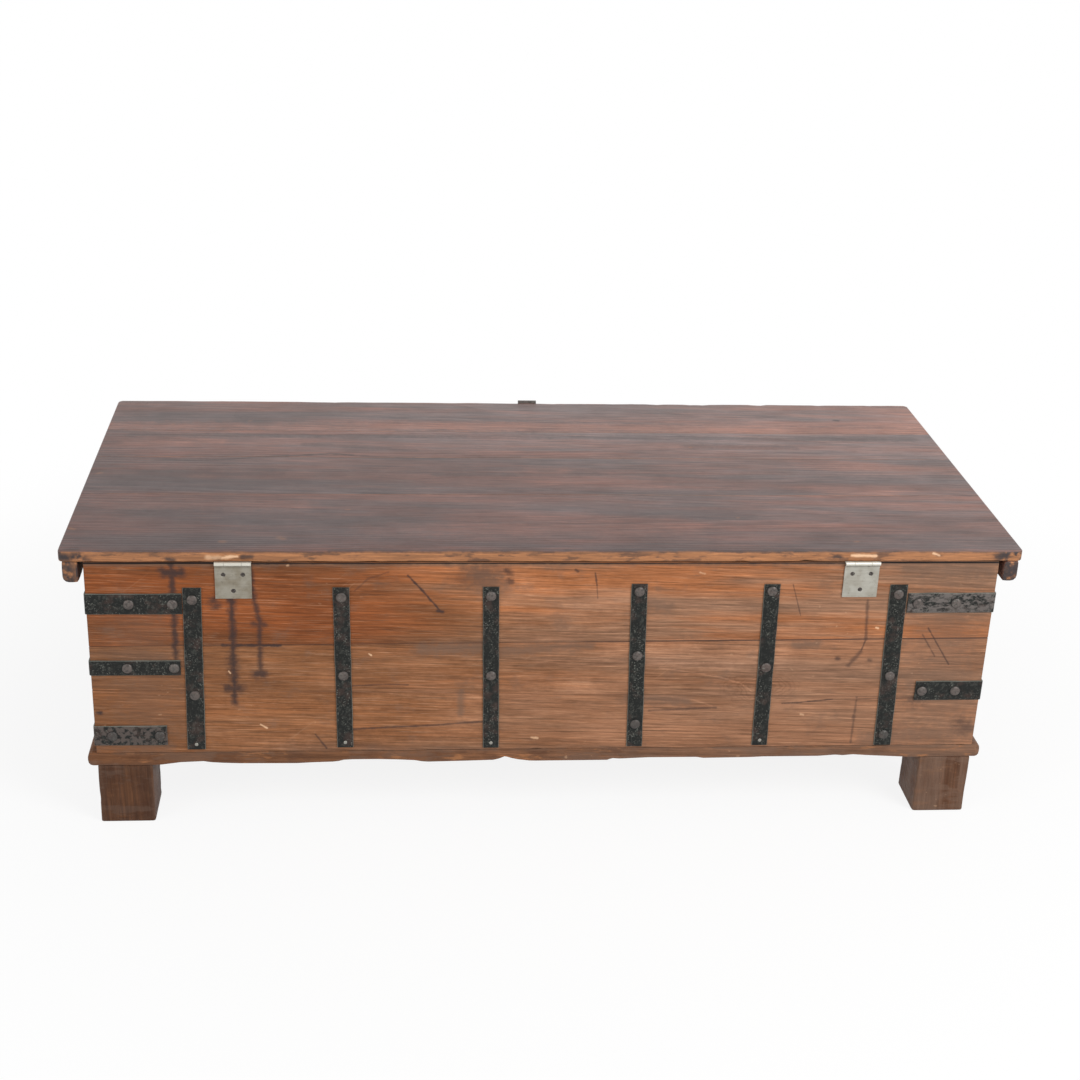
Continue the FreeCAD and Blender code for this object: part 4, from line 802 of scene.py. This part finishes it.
def board(
    name, axes, ends, limits, seed, finish="wall wood", tone=0.5, pith=(0.01, -0.09), tilt=(0.02, 0.03),
    rounding=None, wander=None, end_round=None, pitch=0.011, corner=None, seams=(), breaks=(), extra=(), lift=None,
):
    """A sawn board for the CAD node of that name. limits gives its low and high sides at a place along it."""
    wood = bpy.context.scene.chest_wood
    rounding, wander = rounding or wood.edge_round, wander or wood.edge_wander
    end_round = end_round or (wood.edge_round,) * 2
    tool, rings, wear = bmesh.new(), [], []
    for t, turned in board_stations(*ends, pitch, max(end_round), breaks, extra):
        low, high = limits(t)
        low = [edge + turned * side for edge, side in zip(low, end_round)]
        high = [edge - turned * side for edge, side in zip(high, end_round)]
        rounds, strays = [], []
        for k in range(4):
            swell = 1 + 0.5 * jitter(t * 34, seed * 5.3 + k, 3.1)
            knock = max(0.0, jitter(t * 55, seed * 9.1 + k, 8.7) - 0.25)
            wave = max(0.0, 0.35 + jitter(t * 17, seed * 2.7 + k, 1.3))
            special = [CRISP, CRISP] if k in seams else corner and corner(k, t)
            rounds.append(special or [rounding * swell] * 2)
            strays.append(0.0 if special else wander * (0.5 * wave + 1.6 * knock) * (1 - 0.7 * turned))
        section = worn_section(low, high, rounds, strays, seams)
        if lift:
            section[:6] = hollowed(low, lift(t))
        rings.append([])
        for a, b, share in section:
            spot = dict(zip(axes, (t, a, b)))
            rings[-1].append(tool.verts.new((spot[X], spot[Y], spot[Z])))
            wear.append(share)
    bridge(tool, rings)
    mesh = new_mesh(tool, name, [max(0.0, share) for share in wear])
    middle = [sum(sides) / 2 for sides in zip(*limits(sum(ends) / 2))]
    grain = []
    for vertex in mesh.vertices:
        t, *across = (vertex.co[axis] for axis in axes)
        grain += [t + seed * 3.7, *(across[k] - middle[k] - pith[k] + tilt[k] * t for k in (0, 1))]
    write_layer(mesh, "grain", grain, "FLOAT_VECTOR")
    write_layer(mesh, "seam", [max(0.0, -share) for share in wear])
    write_layer(mesh, "tone", [tone] * len(mesh.vertices))
    return add_piece(name + "_wood", mesh, finish, name)


def corners_of(node):
    return [vertex.co for vertex in frame["nodes"][node].data.vertices]


def box_limits(node, axes):
    return [[corner[axis] for axis in axes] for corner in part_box(node)]


def plain_limits(node, axes):
    """The ends of a straight board and its sides, the same all along it."""
    low, high = box_limits(node, axes)
    return (low[0], high[0]), lambda t: (low[1:], high[1:])


# How far in from an end its corners count as at the end
END_ZONE = 0.006


def edge_run(node, along, across, pick):
    """One edge of a straight CAD piece, as a place across for each place along."""
    points = corners_of(node)
    first, last = min(p[along] for p in points), max(p[along] for p in points)
    at_first = pick(p[across] for p in points if p[along] < first + END_ZONE)
    at_last = pick(p[across] for p in points if p[along] > last - END_ZONE)
    return lambda t: at_first + (at_last - at_first) * (t - first) / (last - first)


def straight_board(node, axes, *numbers, **choice):
    """A board with the ends and sides of its straight CAD node."""
    board(node, axes, *plain_limits(node, axes), *numbers, **choice)


def sloping_limits(node, axes):
    """The ends and sides of a straight board whose long edges may slope."""
    low, high = box_limits(node, axes)
    under, over = (edge_run(node, axes[0], axes[1], pick) for pick in (min, max))
    return (low[0], high[0]), lambda t: ([under(t), low[2]], [over(t), high[2]])


def welded(node):
    """A copy of a CAD node's shape with its corners joined."""
    tool = bmesh.new()
    tool.from_mesh(frame["nodes"][node].data)
    bmesh.ops.remove_doubles(tool, verts=tool.verts, dist=JOIN_GAP)
    return tool


def islands(node):
    """The low and high corners of each solid of a CAD node."""
    tool = welded(node)
    left, found = set(tool.verts), []
    while left:
        group, queue = [], [left.pop()]
        while queue:
            vertex = queue.pop()
            group.append(vertex.co.copy())
            near = {edge.other_vert(vertex) for edge in vertex.link_edges} & left
            left -= near
            queue += near
        found.append([Vector(pick(p[k] for p in group) for k in range(3)) for pick in (min, max)])
    tool.free()
    return sorted(found, key=lambda pair: tuple(pair[0]))


def fitted_copy(node, finish, bevel=0.0003):
    """A CAD node's own shape with softened edges, for small forged and folded steel."""
    tool = welded(node)
    bmesh.ops.dissolve_limit(tool, angle_limit=math.radians(1), verts=tool.verts, edges=tool.edges)
    piece = add_piece(node + "_metal", new_mesh(tool, node), finish, node)
    softened = piece.modifiers.new("soft edges", "BEVEL")
    softened.width, softened.segments, softened.limit_method = bevel, 2, "ANGLE"
    softened.angle_limit = math.radians(32)
    softened.harden_normals = True


# Round a strip: share of the half width, level from the underside to the face, and edge wear, which the black iron
# paints pale as worn paint and painted highlight
STRIP_RING = (
    (-1.0, 0.0, 0.2), (-1.0, 0.55, 1.0), (-0.95, 0.85, 0.7), (-0.85, 1.0, 0.0), (-0.3, 0.98, 0.0),
    (0.3, 0.98, 0.0), (0.85, 1.0, 0.0), (0.95, 0.85, 0.7), (1.0, 0.55, 1.0), (1.0, 0.0, 0.2),
)


def strip(name, path, across, half, thick):
    """A flat iron strip swept along a path of (place, outward), with its half width at each place."""
    wander = bpy.context.scene.chest_iron.strap_wander
    tool, rings, wear = bmesh.new(), [], []
    for number, (place, outward) in enumerate(path):
        rings.append([])
        for side, level, share in STRIP_RING:
            stray = max(0.0, 0.4 + jitter(number * 0.31, side * 7.3, len(name) * 1.7)) * wander
            reach = half(place) - (1 - abs(side)) * 0.006 - stray * abs(side) if abs(side) > 0.5 else 0.0
            spot = place + across * math.copysign(reach, side) - outward * thick * (1 - level)
            rings[-1].append(tool.verts.new(spot))
            wear.append(share)
    bridge(tool, rings)
    add_piece(name + "_iron", new_mesh(tool, name, wear), "black iron", name)


# The steps along an upright strap and along a band
STRAP_STEP, BAND_STEP = 0.007, 0.008


def upright_strap(node, outward):
    """A wall strap, a little out of plumb, with wavy sheared edges."""
    low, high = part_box(node)
    left, right = (edge_run(node, Z, X, pick) for pick in (min, max))
    face = low.y if outward.y < 0 else high.y
    steps = round((high.z - low.z) / STRAP_STEP)
    heights = [low.z + (high.z - low.z) * k / steps for k in range(steps + 1)]
    path = [(Vector(((left(z) + right(z)) / 2, face, z)), outward) for z in heights]
    strip(node, path, Vector((1, 0, 0)), lambda place: (right(place.z) - left(place.z)) / 2, high.y - low.y)


def end_band(node, thick=0.002, radius=0.003):
    """A band that lies on the back wall, bends round one end and lies on the front wall."""
    low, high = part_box(node)
    way, end, pick = (-1, low.x, max) if low.x < 0 else (1, high.x, min)
    near = pick(p.x for p in corners_of(node) if p.y < low.y + 0.0005)
    far = pick(p.x for p in corners_of(node) if p.y > high.y - 0.0005)
    inner = end - way * radius
    path = []

    def add(x, y, outward):
        path.append((Vector((x, y, (low.z + high.z) / 2)), outward))

    def run(first, last, outward):
        steps = max(1, round((Vector(last) - Vector(first)).length / BAND_STEP))
        for k in range(steps + 1):
            add(*Vector(first).lerp(Vector(last), k / steps), outward)

    def bend(y, start_turn):
        for share in (0.25, 0.5, 0.75):
            turn = math.radians(start_turn + 90 * share)
            outward = Vector((way * math.sin(turn), -math.cos(turn), 0))
            add(inner + outward.x * radius, y + outward.y * radius, outward)

    run((near, low.y), (inner, low.y), Vector((0, -1, 0)))
    bend(low.y + radius, 0)
    run((end, low.y + radius), (end, high.y - radius), Vector((way, 0, 0)))
    bend(high.y - radius, 90)
    run((inner, high.y), (far, high.y), Vector((0, 1, 0)))
    half = (high.z - low.z) / 2
    strip(node, path, Vector((0, 0, 1)), lambda place: half, thick)


def way_round(outward, angle):
    """The way across a head at that angle round it."""
    across = outward.orthogonal().normalized()
    return across * math.cos(angle) + outward.cross(across) * math.sin(angle)


# Rings of a hammered head: share of the radius, share of the rise, and edge share, which the rivets paint dark as
# painted shade round the rim
HEAD_RINGS = (
    (1.0, 0.0, 1.0), (0.99, 0.22, 1.0), (0.93, 0.5, 0.5), (0.8, 0.75, 0.0), (0.58, 0.91, 0.0), (0.3, 0.99, 0.0),
)


# How far a head is out of round, and how far hammered down, as shares of its radius and rise
OUT_OF_ROUND, HAMMERED = 0.05, 0.14


def add_head(tool, wear, base, outward, radius, rise, seed):
    """One hammered head: a low dome, slightly out of round, with flats left by the hammer."""
    sides = bpy.context.scene.chest_iron.head_sides
    ways = [way_round(outward, math.tau * k / sides) for k in range(sides)]
    rings = []
    for number, (reach, level, share) in enumerate(HEAD_RINGS):
        rings.append([])
        for way in ways:
            stray = 0.5 + 0.5 * jitter(way.x * 1.3 + seed * 7.1, way.y * 1.3, way.z * 1.3 + number * 0.15)
            blow = 0.5 + 0.5 * jitter(way.x * 2 + seed * 3.3, way.z * 2, number * 0.4)
            uneven, lift = 1 - OUT_OF_ROUND * stray, 1 - HAMMERED * blow
            spot = base + way * radius * reach * uneven + outward * rise * level * lift
            rings[-1].append(tool.verts.new(spot))
            wear.append(share)
    bridge(tool, rings, capped=False)
    tip = tool.verts.new(base + outward * rise * 0.97)
    wear.append(0.0)
    for k in range(sides):
        tool.faces.new((rings[-1][k], rings[-1][(k + 1) % sides], tip))
    tool.faces.new(reversed(rings[0]))


def seats(node):
    """Each head of a node: its number, which way it looks, the middle of its underside, its radius and its rise."""
    for number, (low, high) in enumerate(islands(node)):
        middle, extent = (low + high) / 2, high - low
        outward = Vector((0, 0, 1 if node == "foot_spikes" else -1))
        if node.endswith("ends"):
            outward = Vector((math.copysign(1, middle.x), 0, 0))
        elif node in ("rivets_back", "box_hinge_screws"):
            outward = Vector((0, -1, 0))
        elif node in ("rivets_front", "hasp_leaf_screws"):
            outward = Vector((0, 1, 0))
        elif node == "strap_nails":
            outward = Vector((0, math.copysign(1, middle.y), 0))
        axis = max(range(3), key=lambda k: abs(outward[k]))
        base = middle.copy()
        base[axis] = low[axis] if outward[axis] > 0 else high[axis]
        yield number, outward, base, min(extent[k] for k in range(3) if k != axis) / 2, extent[axis]


def hammered_heads(node, finish="rivet iron"):
    tool, wear = bmesh.new(), []
    for number, outward, base, radius, rise in seats(node):
        add_head(tool, wear, base, outward, radius, rise, number + len(node))
    add_piece(node + "_heads", new_mesh(tool, node, wear), finish, node)


def slotted_screws(node):
    """Countersunk heads with a slot, set to a different turn each."""
    slot = bpy.context.scene.chest_zinc.slot_width
    tool = bmesh.new()
    for number, outward, base, radius, length in seats(node):
        sink = radius * 0.28

        def stack(angles, *rings):
            """A closed form through rings, each with its reach and its depth."""
            ways = [way_round(outward, angle + 1.3 * number + 0.4) for angle in angles]
            top = base + outward * length
            bridge(tool, [[tool.verts.new(top + way * r - outward * deep) for way in ways] for r, deep in rings])

        around = [math.tau * k / 12 for k in range(12)]
        stack(around, (radius * 0.35, length * 0.9), (radius * 0.45, radius), (radius * 0.97, sink))
        gap = math.asin(min(0.9, slot / 2 / radius))
        for half in (0, math.pi):
            arc = [half + gap + (math.pi - 2 * gap) * k / 10 for k in range(11)]
            stack(arc, (radius * 0.97, sink), (radius * 0.97, radius * 0.06), (radius * 0.9, 0))
    add_piece(node + "_heads", new_mesh(tool, node), "screw steel", node)


# Lid
LID_AXES = (X, Y, Z)
LID_CORNER = 0.009
# Each lid plank: its tone, where the middle of its tree lay, and its seams
LID_PLANKS = (
    (0.52, (0.02, -0.07), HIGH_SEAM),
    (0.42, (-0.03, 0.11), {**LOW_SEAM, **HIGH_SEAM}),
    (0.6, (0.0, -0.06), {**LOW_SEAM, **HIGH_SEAM}),
    (0.48, (0.04, -0.12), LOW_SEAM),
)


def lid_limits(number):
    """The ends and sides of a lid plank. The first and last turn in at the lid's corners."""
    ends, sides = plain_limits(f"lid_plank_{number}", LID_AXES)

    def limits(t):
        low, high = (list(side) for side in sides(t))
        gap = min(t - ends[0], ends[1] - t)
        turned = LID_CORNER - math.sqrt(max(0.0, LID_CORNER**2 - max(0.0, LID_CORNER - gap) ** 2))
        if number == 1:
            low[0] += turned
        if number == 4:
            high[0] -= turned
        return low, high

    return ends, limits


def hasp_notch():
    """The notch in the lid's front edge: its two ends, and how far it goes in and down."""
    _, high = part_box("lid_plank_4")
    cut = [p for p in corners_of("lid_plank_4") if high.y - 0.01 < p.y < high.y - 0.0005 and abs(p.x) < 0.1]
    ends = min(p.x for p in cut), max(p.x for p in cut)
    return ends, [high.y - min(p.y for p in cut), high.z - min(p.z for p in cut)]


class ChestLidPlanks(bpy.types.Operator):
    """Four waxed planks with worn edges"""

    bl_idname = "chest.lid_planks"
    bl_label = "Lid planks"

    def execute(self, context):
        notch, depth = hasp_notch()

        def notched(k, t):
            return depth if k == 2 and notch[0] < t < notch[1] else None

        for number, (tone, pith, seams) in enumerate(LID_PLANKS, start=1):
            cut = {"corner": notched, "breaks": notch} if number == 4 else {}
            board(
                f"lid_plank_{number}", LID_AXES, *lid_limits(number), number, f"lid wood {number}", tone, pith,
                (0.03, 0.025), rounding=0.0016, end_round=(0.0005, 0.0018), seams=seams,
                extra=(0.0004, 0.001, 0.002, 0.0035, 0.0055, 0.0075, 0.009), **cut,
            )
        return {"FINISHED"}


class ChestLidFrame(bpy.types.Operator):
    """Cleats under the lid's ends and battens inside"""

    bl_idname = "chest.lid_frame"
    bl_label = "Lid cleats and battens"

    def execute(self, context):
        axes = (Y, X, Z)
        for outer, side in enumerate(("left", "right")):

            def big_round(k, t, outer=outer):
                return [0.008, 0.008] if k == outer else None

            straight_board(
                f"lid_cleat_{side}", axes, 5 + outer, "lid wood", 0.2, (0.0, -0.05), corner=big_round,
                end_round=(0.002, 0.002),
            )
            straight_board(f"lid_batten_{side}", axes, 7 + outer, tone=0.2)
        return {"FINISHED"}


# Walls. Each board from below: its tone, where the middle of its tree lay, and its seams
WALL_BOARDS = {
    "bottom": (0.25, (0.05, 0.045), {1: 0.3, 2: 0.3}),
    "middle": (0.35, (-0.02, 0.06), {0: 0.3, 3: 0.3, **HIGH_SEAM}),
    "top": (1.0, (0.03, -0.05), LOW_SEAM),
}
# How far the boards close up, how deep the top one is cut at the hinges and worn between them, and the room
# that a hinge leaf has at each side
CLOSE_UP, SEAT_DEPTH, WORN_DEPTH, LEAF_ROOM = 0.00018, 0.002, 0.0013, 0.0002


def wall(side, first_seed):
    """A long wall of three boards that meet almost without a gap."""
    axes = (X, Z, Y)
    for seed, (part, (tone, pith, seams)) in enumerate(WALL_BOARDS.items(), start=first_seed):
        node = f"{side}_board_{part}"
        ends, limits = sloping_limits(node, axes)
        limits, breaks = closed_up(limits, part), ()
        if node == "back_board_top":
            breaks, limits = with_hinge_seats(limits)
        finish = f"back wood {part}" if side == "back" else "wall wood"
        board(
            node, axes, ends, limits, seed, finish, tone, pith, (0.03, 0.02), rounding=0.0011, wander=0.0006,
            seams=seams, breaks=breaks,
        )


def closed_up(limits, part):
    def closed(t):
        low, high = limits(t)
        low = [low[0] - (0 if part == "bottom" else CLOSE_UP), low[1]]
        high = [high[0] + (0 if part == "top" else CLOSE_UP), high[1]]
        return low, high

    return closed


def with_hinge_seats(limits):
    """The top board's sides with the recesses for the lid's hinge leaves, and worn down between them."""
    boxes = [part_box(f"lid_hinge_leaf_{side}") for side in ("left", "right")]
    spans = [(low.x - LEAF_ROOM, high.x + LEAF_ROOM) for low, high in boxes]

    def cut(t):
        low, high = (list(side) for side in limits(t))
        if any(first < t < last for first, last in spans):
            high[0] -= SEAT_DEPTH
        elif spans[0][1] <= t <= spans[1][0]:
            high[0] -= WORN_DEPTH
        return low, high

    return [edge for span in spans for edge in span], cut


class ChestWalls(bpy.types.Operator):
    """Back and front walls of three boards each"""

    bl_idname = "chest.walls"
    bl_label = "Back and front walls"

    def execute(self, context):
        wall("back", 10)
        wall("front", 20)
        return {"FINISHED"}


class ChestEnds(bpy.types.Operator):
    """Two boards at each end"""

    bl_idname = "chest.ends"
    bl_label = "End boards"

    def execute(self, context):
        axes = (Y, Z, X)
        nodes = [f"{side}_end_board_{part}" for side in ("left", "right") for part in ("bottom", "top")]
        for seed, node in enumerate(nodes, start=30):
            board(
                node, axes, *sloping_limits(node, axes), seed, tone=0.4 + 0.2 * (seed % 2),
                pith=(0.03, -0.06 + 0.02 * (seed % 3)), wander=0.0008,
            )
        return {"FINISHED"}


# Floor and feet. The back floor board's worn edge lies this near its back face and its underside, between its ends
NEAR_BACK, NEAR_UNDERSIDE, NEAR_END = 0.0002, 0.0095, 0.01


def worn_underside():
    """How far the back floor board's lower edge has worn away at each place along it."""
    low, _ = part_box("floor_board_back")
    lifts = {}
    for p in corners_of("floor_board_back"):
        if p.y < low.y + NEAR_BACK and p.z < low.z + NEAR_UNDERSIDE and abs(p.x) < -low.x - NEAR_END:
            key = round(p.x, 4)
            lifts[key] = min(p.z - low.z, lifts.get(key, 1.0))
    places = sorted(lifts)

    def lift_at(t):
        for first, second in zip(places, places[1:]):
            if first <= t <= second:
                return lifts[first] + (lifts[second] - lifts[first]) * (t - first) / (second - first)
        return 0.0

    return lift_at


class ChestFloor(bpy.types.Operator):
    """Floor boards, with the rounded ledge and the worn lower edge at the back"""

    bl_idname = "chest.floor"
    bl_label = "Floor boards"

    def execute(self, context):
        for seed, part in enumerate(("back", "middle", "front"), start=40):
            worn = {"lift": worn_underside(), "pitch": 0.004} if part == "back" else {"pitch": 0.01}
            straight_board(
                f"floor_board_{part}", (X, Y, Z), seed, "floor wood", 0.15, (0.02, -0.05), end_round=(0.003, 0.007),
                **worn,
            )
        return {"FINISHED"}


class ChestFeet(bpy.types.Operator):
    """Four block feet"""

    bl_idname = "chest.feet"
    bl_label = "Feet"

    def execute(self, context):
        for seed, place in enumerate(("back_left", "back_right", "front_left", "front_right"), start=50):
            straight_board(
                f"foot_{place}", (Z, X, Y), seed, "foot wood", 0.5, (0.03, 0.05 - 0.02 * (seed % 3)), rounding=0.0022,
                wander=0.0014, end_round=(0.0022, 0.0022), pitch=0.006,
            )
        return {"FINISHED"}


# Iron and steel
class ChestStraps(bpy.types.Operator):
    """Six upright straps on each long wall"""

    bl_idname = "chest.straps"
    bl_label = "Upright straps"

    def execute(self, context):
        for number in range(1, 7):
            upright_strap(f"back_strap_{number}", Vector((0, -1, 0)))
            upright_strap(f"front_strap_{number}", Vector((0, 1, 0)))
        return {"FINISHED"}


class ChestBands(bpy.types.Operator):
    """Bands bent round the ends"""

    bl_idname = "chest.bands"
    bl_label = "End bands"

    def execute(self, context):
        for node in sorted(frame["nodes"]):
            if node.startswith("end_band"):
                end_band(node)
        return {"FINISHED"}


class ChestRivets(bpy.types.Operator):
    """Hammered rivet heads"""

    bl_idname = "chest.rivets"
    bl_label = "Rivets"

    def execute(self, context):
        for node in ("rivets_back", "rivets_front", "rivets_ends"):
            hammered_heads(node)
        return {"FINISHED"}


class ChestNails(bpy.types.Operator):
    """Small nails and the spikes of the floor"""

    bl_idname = "chest.nails"
    bl_label = "Nails and spikes"

    def execute(self, context):
        # The strap nails' heads get a painted highlight
        hammered_heads("strap_nails", "rubbed nail steel")
        for node in ("lid_nails", "foot_spikes"):
            hammered_heads(node, "nail steel")
        return {"FINISHED"}


class ChestHinges(bpy.types.Operator):
    """Butt hinges with their pins"""

    bl_idname = "chest.hinges"
    bl_label = "Hinges"

    def execute(self, context):
        for side in ("left", "right"):
            fitted_copy(f"box_hinge_leaf_{side}", "zinc steel")
            fitted_copy(f"lid_hinge_leaf_{side}", "zinc steel")
        fitted_copy("hinge_pins", "screw steel", 0.0002)
        return {"FINISHED"}


class ChestScrews(bpy.types.Operator):
    """Slotted screws of the hinges and the hasp"""

    bl_idname = "chest.screws"
    bl_label = "Screws"

    def execute(self, context):
        for node in ("box_hinge_screws", "lid_hinge_screws", "hasp_leaf_screws"):
            slotted_screws(node)
        return {"FINISHED"}


class ChestHasp(bpy.types.Operator):
    """Hasp, its leaf and pin, and the staple"""

    bl_idname = "chest.hasp"
    bl_label = "Hasp and staple"

    def execute(self, context):
        fitted_copy("hasp_leaf", "rivet iron")
        fitted_copy("hasp_strap", "rivet iron", 0.0004)
        fitted_copy("hasp_pin", "screw steel", 0.0002)
        fitted_copy("hasp_staple", "rivet iron", 0.0006)
        return {"FINISHED"}


# Studio. How far the floor reaches, and how white it shows: that share by the chest, and all of it farther off
FLOOR_REACH, WHITE_SHARE, WHITE_RANGE = 12, 0.87, (0.7, 1.5)


def placed(name, data):
    holder = bpy.data.objects.new(name, data)
    bpy.context.scene.collection.objects.link(holder)
    return holder


def area_lamp(name, place, aim, size, watts):
    lamp = bpy.data.lights.new(name, "AREA")
    lamp.shape, lamp.size, lamp.energy = "DISK", size, watts
    holder = placed(name, lamp)
    holder.location = place
    holder.rotation_euler = (Vector(aim) - Vector(place)).to_track_quat("-Z", "Y").to_euler()


def seen(tree):
    """Whether a ray shows the background: to the camera, in a mirror or through glass."""
    rays = tree.outs(tree.node("ShaderNodeLightPath"))
    return rays["Is Camera Ray"].max(rays["Is Transmission Ray"]).max(rays["Is Glossy Ray"])


class ChestStudio(bpy.types.Operator):
    """Pale floor, soft lamps and the camera"""

    bl_idname = "chest.stage"
    bl_label = "Studio"

    def execute(self, context):
        stage = context.scene.chest_stage
        mesh = bpy.data.meshes.new("studio floor")
        corners = [(x * FLOOR_REACH, y * FLOOR_REACH, 0) for x, y in ((-1, -1), (1, -1), (1, 1), (-1, 1))]
        mesh.from_pydata(corners, [], [(0, 1, 2, 3)])
        floor = placed("studio_floor", mesh)
        material = bpy.data.materials.new("studio floor")
        material.use_nodes = True
        tree = Tree(material.node_tree)
        paper = tree.out("ShaderNodeBsdfDiffuse", {"Color": stage.floor})
        white = tree.out("ShaderNodeEmission", {"Color": WHITE, "Strength": 1.0})
        place, _ = tree.here()
        share = seen(tree) * (place.calc("LENGTH").step(*WHITE_RANGE) * (1 - WHITE_SHARE) + WHITE_SHARE)
        mixed = tree.out("ShaderNodeMixShader", {0: share, 1: paper, 2: white})
        tree.node("ShaderNodeOutputMaterial", {"Surface": mixed})
        mesh.materials.append(material)
        world = bpy.data.worlds.new("studio")
        world.use_nodes = True
        tree = Tree(world.node_tree)
        strength = seen(tree) * (1 - stage.sky) + stage.sky
        white = tree.out("ShaderNodeBackground", {"Color": WHITE, "Strength": strength})
        tree.node("ShaderNodeOutputWorld", {"Surface": white})
        context.scene.world = world
        area_lamp("key lamp", (2.1, -2.3, 2.3), (0, 0, 0.25), 1.8, stage.key_watts)
        area_lamp("fill lamp", (-2.5, -2.0, 1.7), (0, 0, 0.25), 2.0, stage.fill_watts)
        lens = bpy.data.cameras.new("photo camera")
        lens.lens, lens.sensor_width, lens.sensor_fit = stage.lens, 36, "HORIZONTAL"
        lens.clip_start, lens.clip_end = 0.05, 60
        camera = placed("photo camera", lens)
        camera.location, camera.rotation_euler = stage.camera_place, stage.camera_turn
        context.scene.camera = camera
        context.scene.view_settings.view_transform = "Standard"
        return {"FINISHED"}


STEPS = (
    ChestLidPlanks, ChestLidFrame, ChestWalls, ChestEnds, ChestFloor, ChestFeet, ChestStraps, ChestBands,
    ChestRivets, ChestNails, ChestHinges, ChestScrews, ChestHasp, ChestStudio,
)


class CHEST_PT_build(bpy.types.Panel):
    bl_label = "Plank chest"
    bl_space_type = "VIEW_3D"
    bl_region_type = "UI"
    bl_category = "Chest"

    def draw(self, context):
        for step in STEPS:
            self.layout.operator(step.bl_idname)
        for settings in (context.scene.chest_wood, context.scene.chest_iron, context.scene.chest_zinc):
            for name in settings.bl_rna.properties.keys():
                if name not in ("name", "rna_type"):
                    self.layout.prop(settings, name)


SETTINGS = {"chest_wood": ChestWood, "chest_iron": ChestIron, "chest_zinc": ChestZinc, "chest_stage": ChestStage}


def register():
    for kind in (*SETTINGS.values(), *STEPS, CHEST_PT_build):
        bpy.utils.register_class(kind)
    for name, kind in SETTINGS.items():
        setattr(bpy.types.Scene, name, PointerProperty(type=kind))


def unregister():
    for name in SETTINGS:
        delattr(bpy.types.Scene, name)
    for kind in reversed((*SETTINGS.values(), *STEPS, CHEST_PT_build)):
        bpy.utils.unregister_class(kind)


def main():
    register()
    for step in STEPS:
        group, name = step.bl_idname.split(".")
        getattr(getattr(bpy.ops, group), name)()


if __name__ == "__main__":
    main()
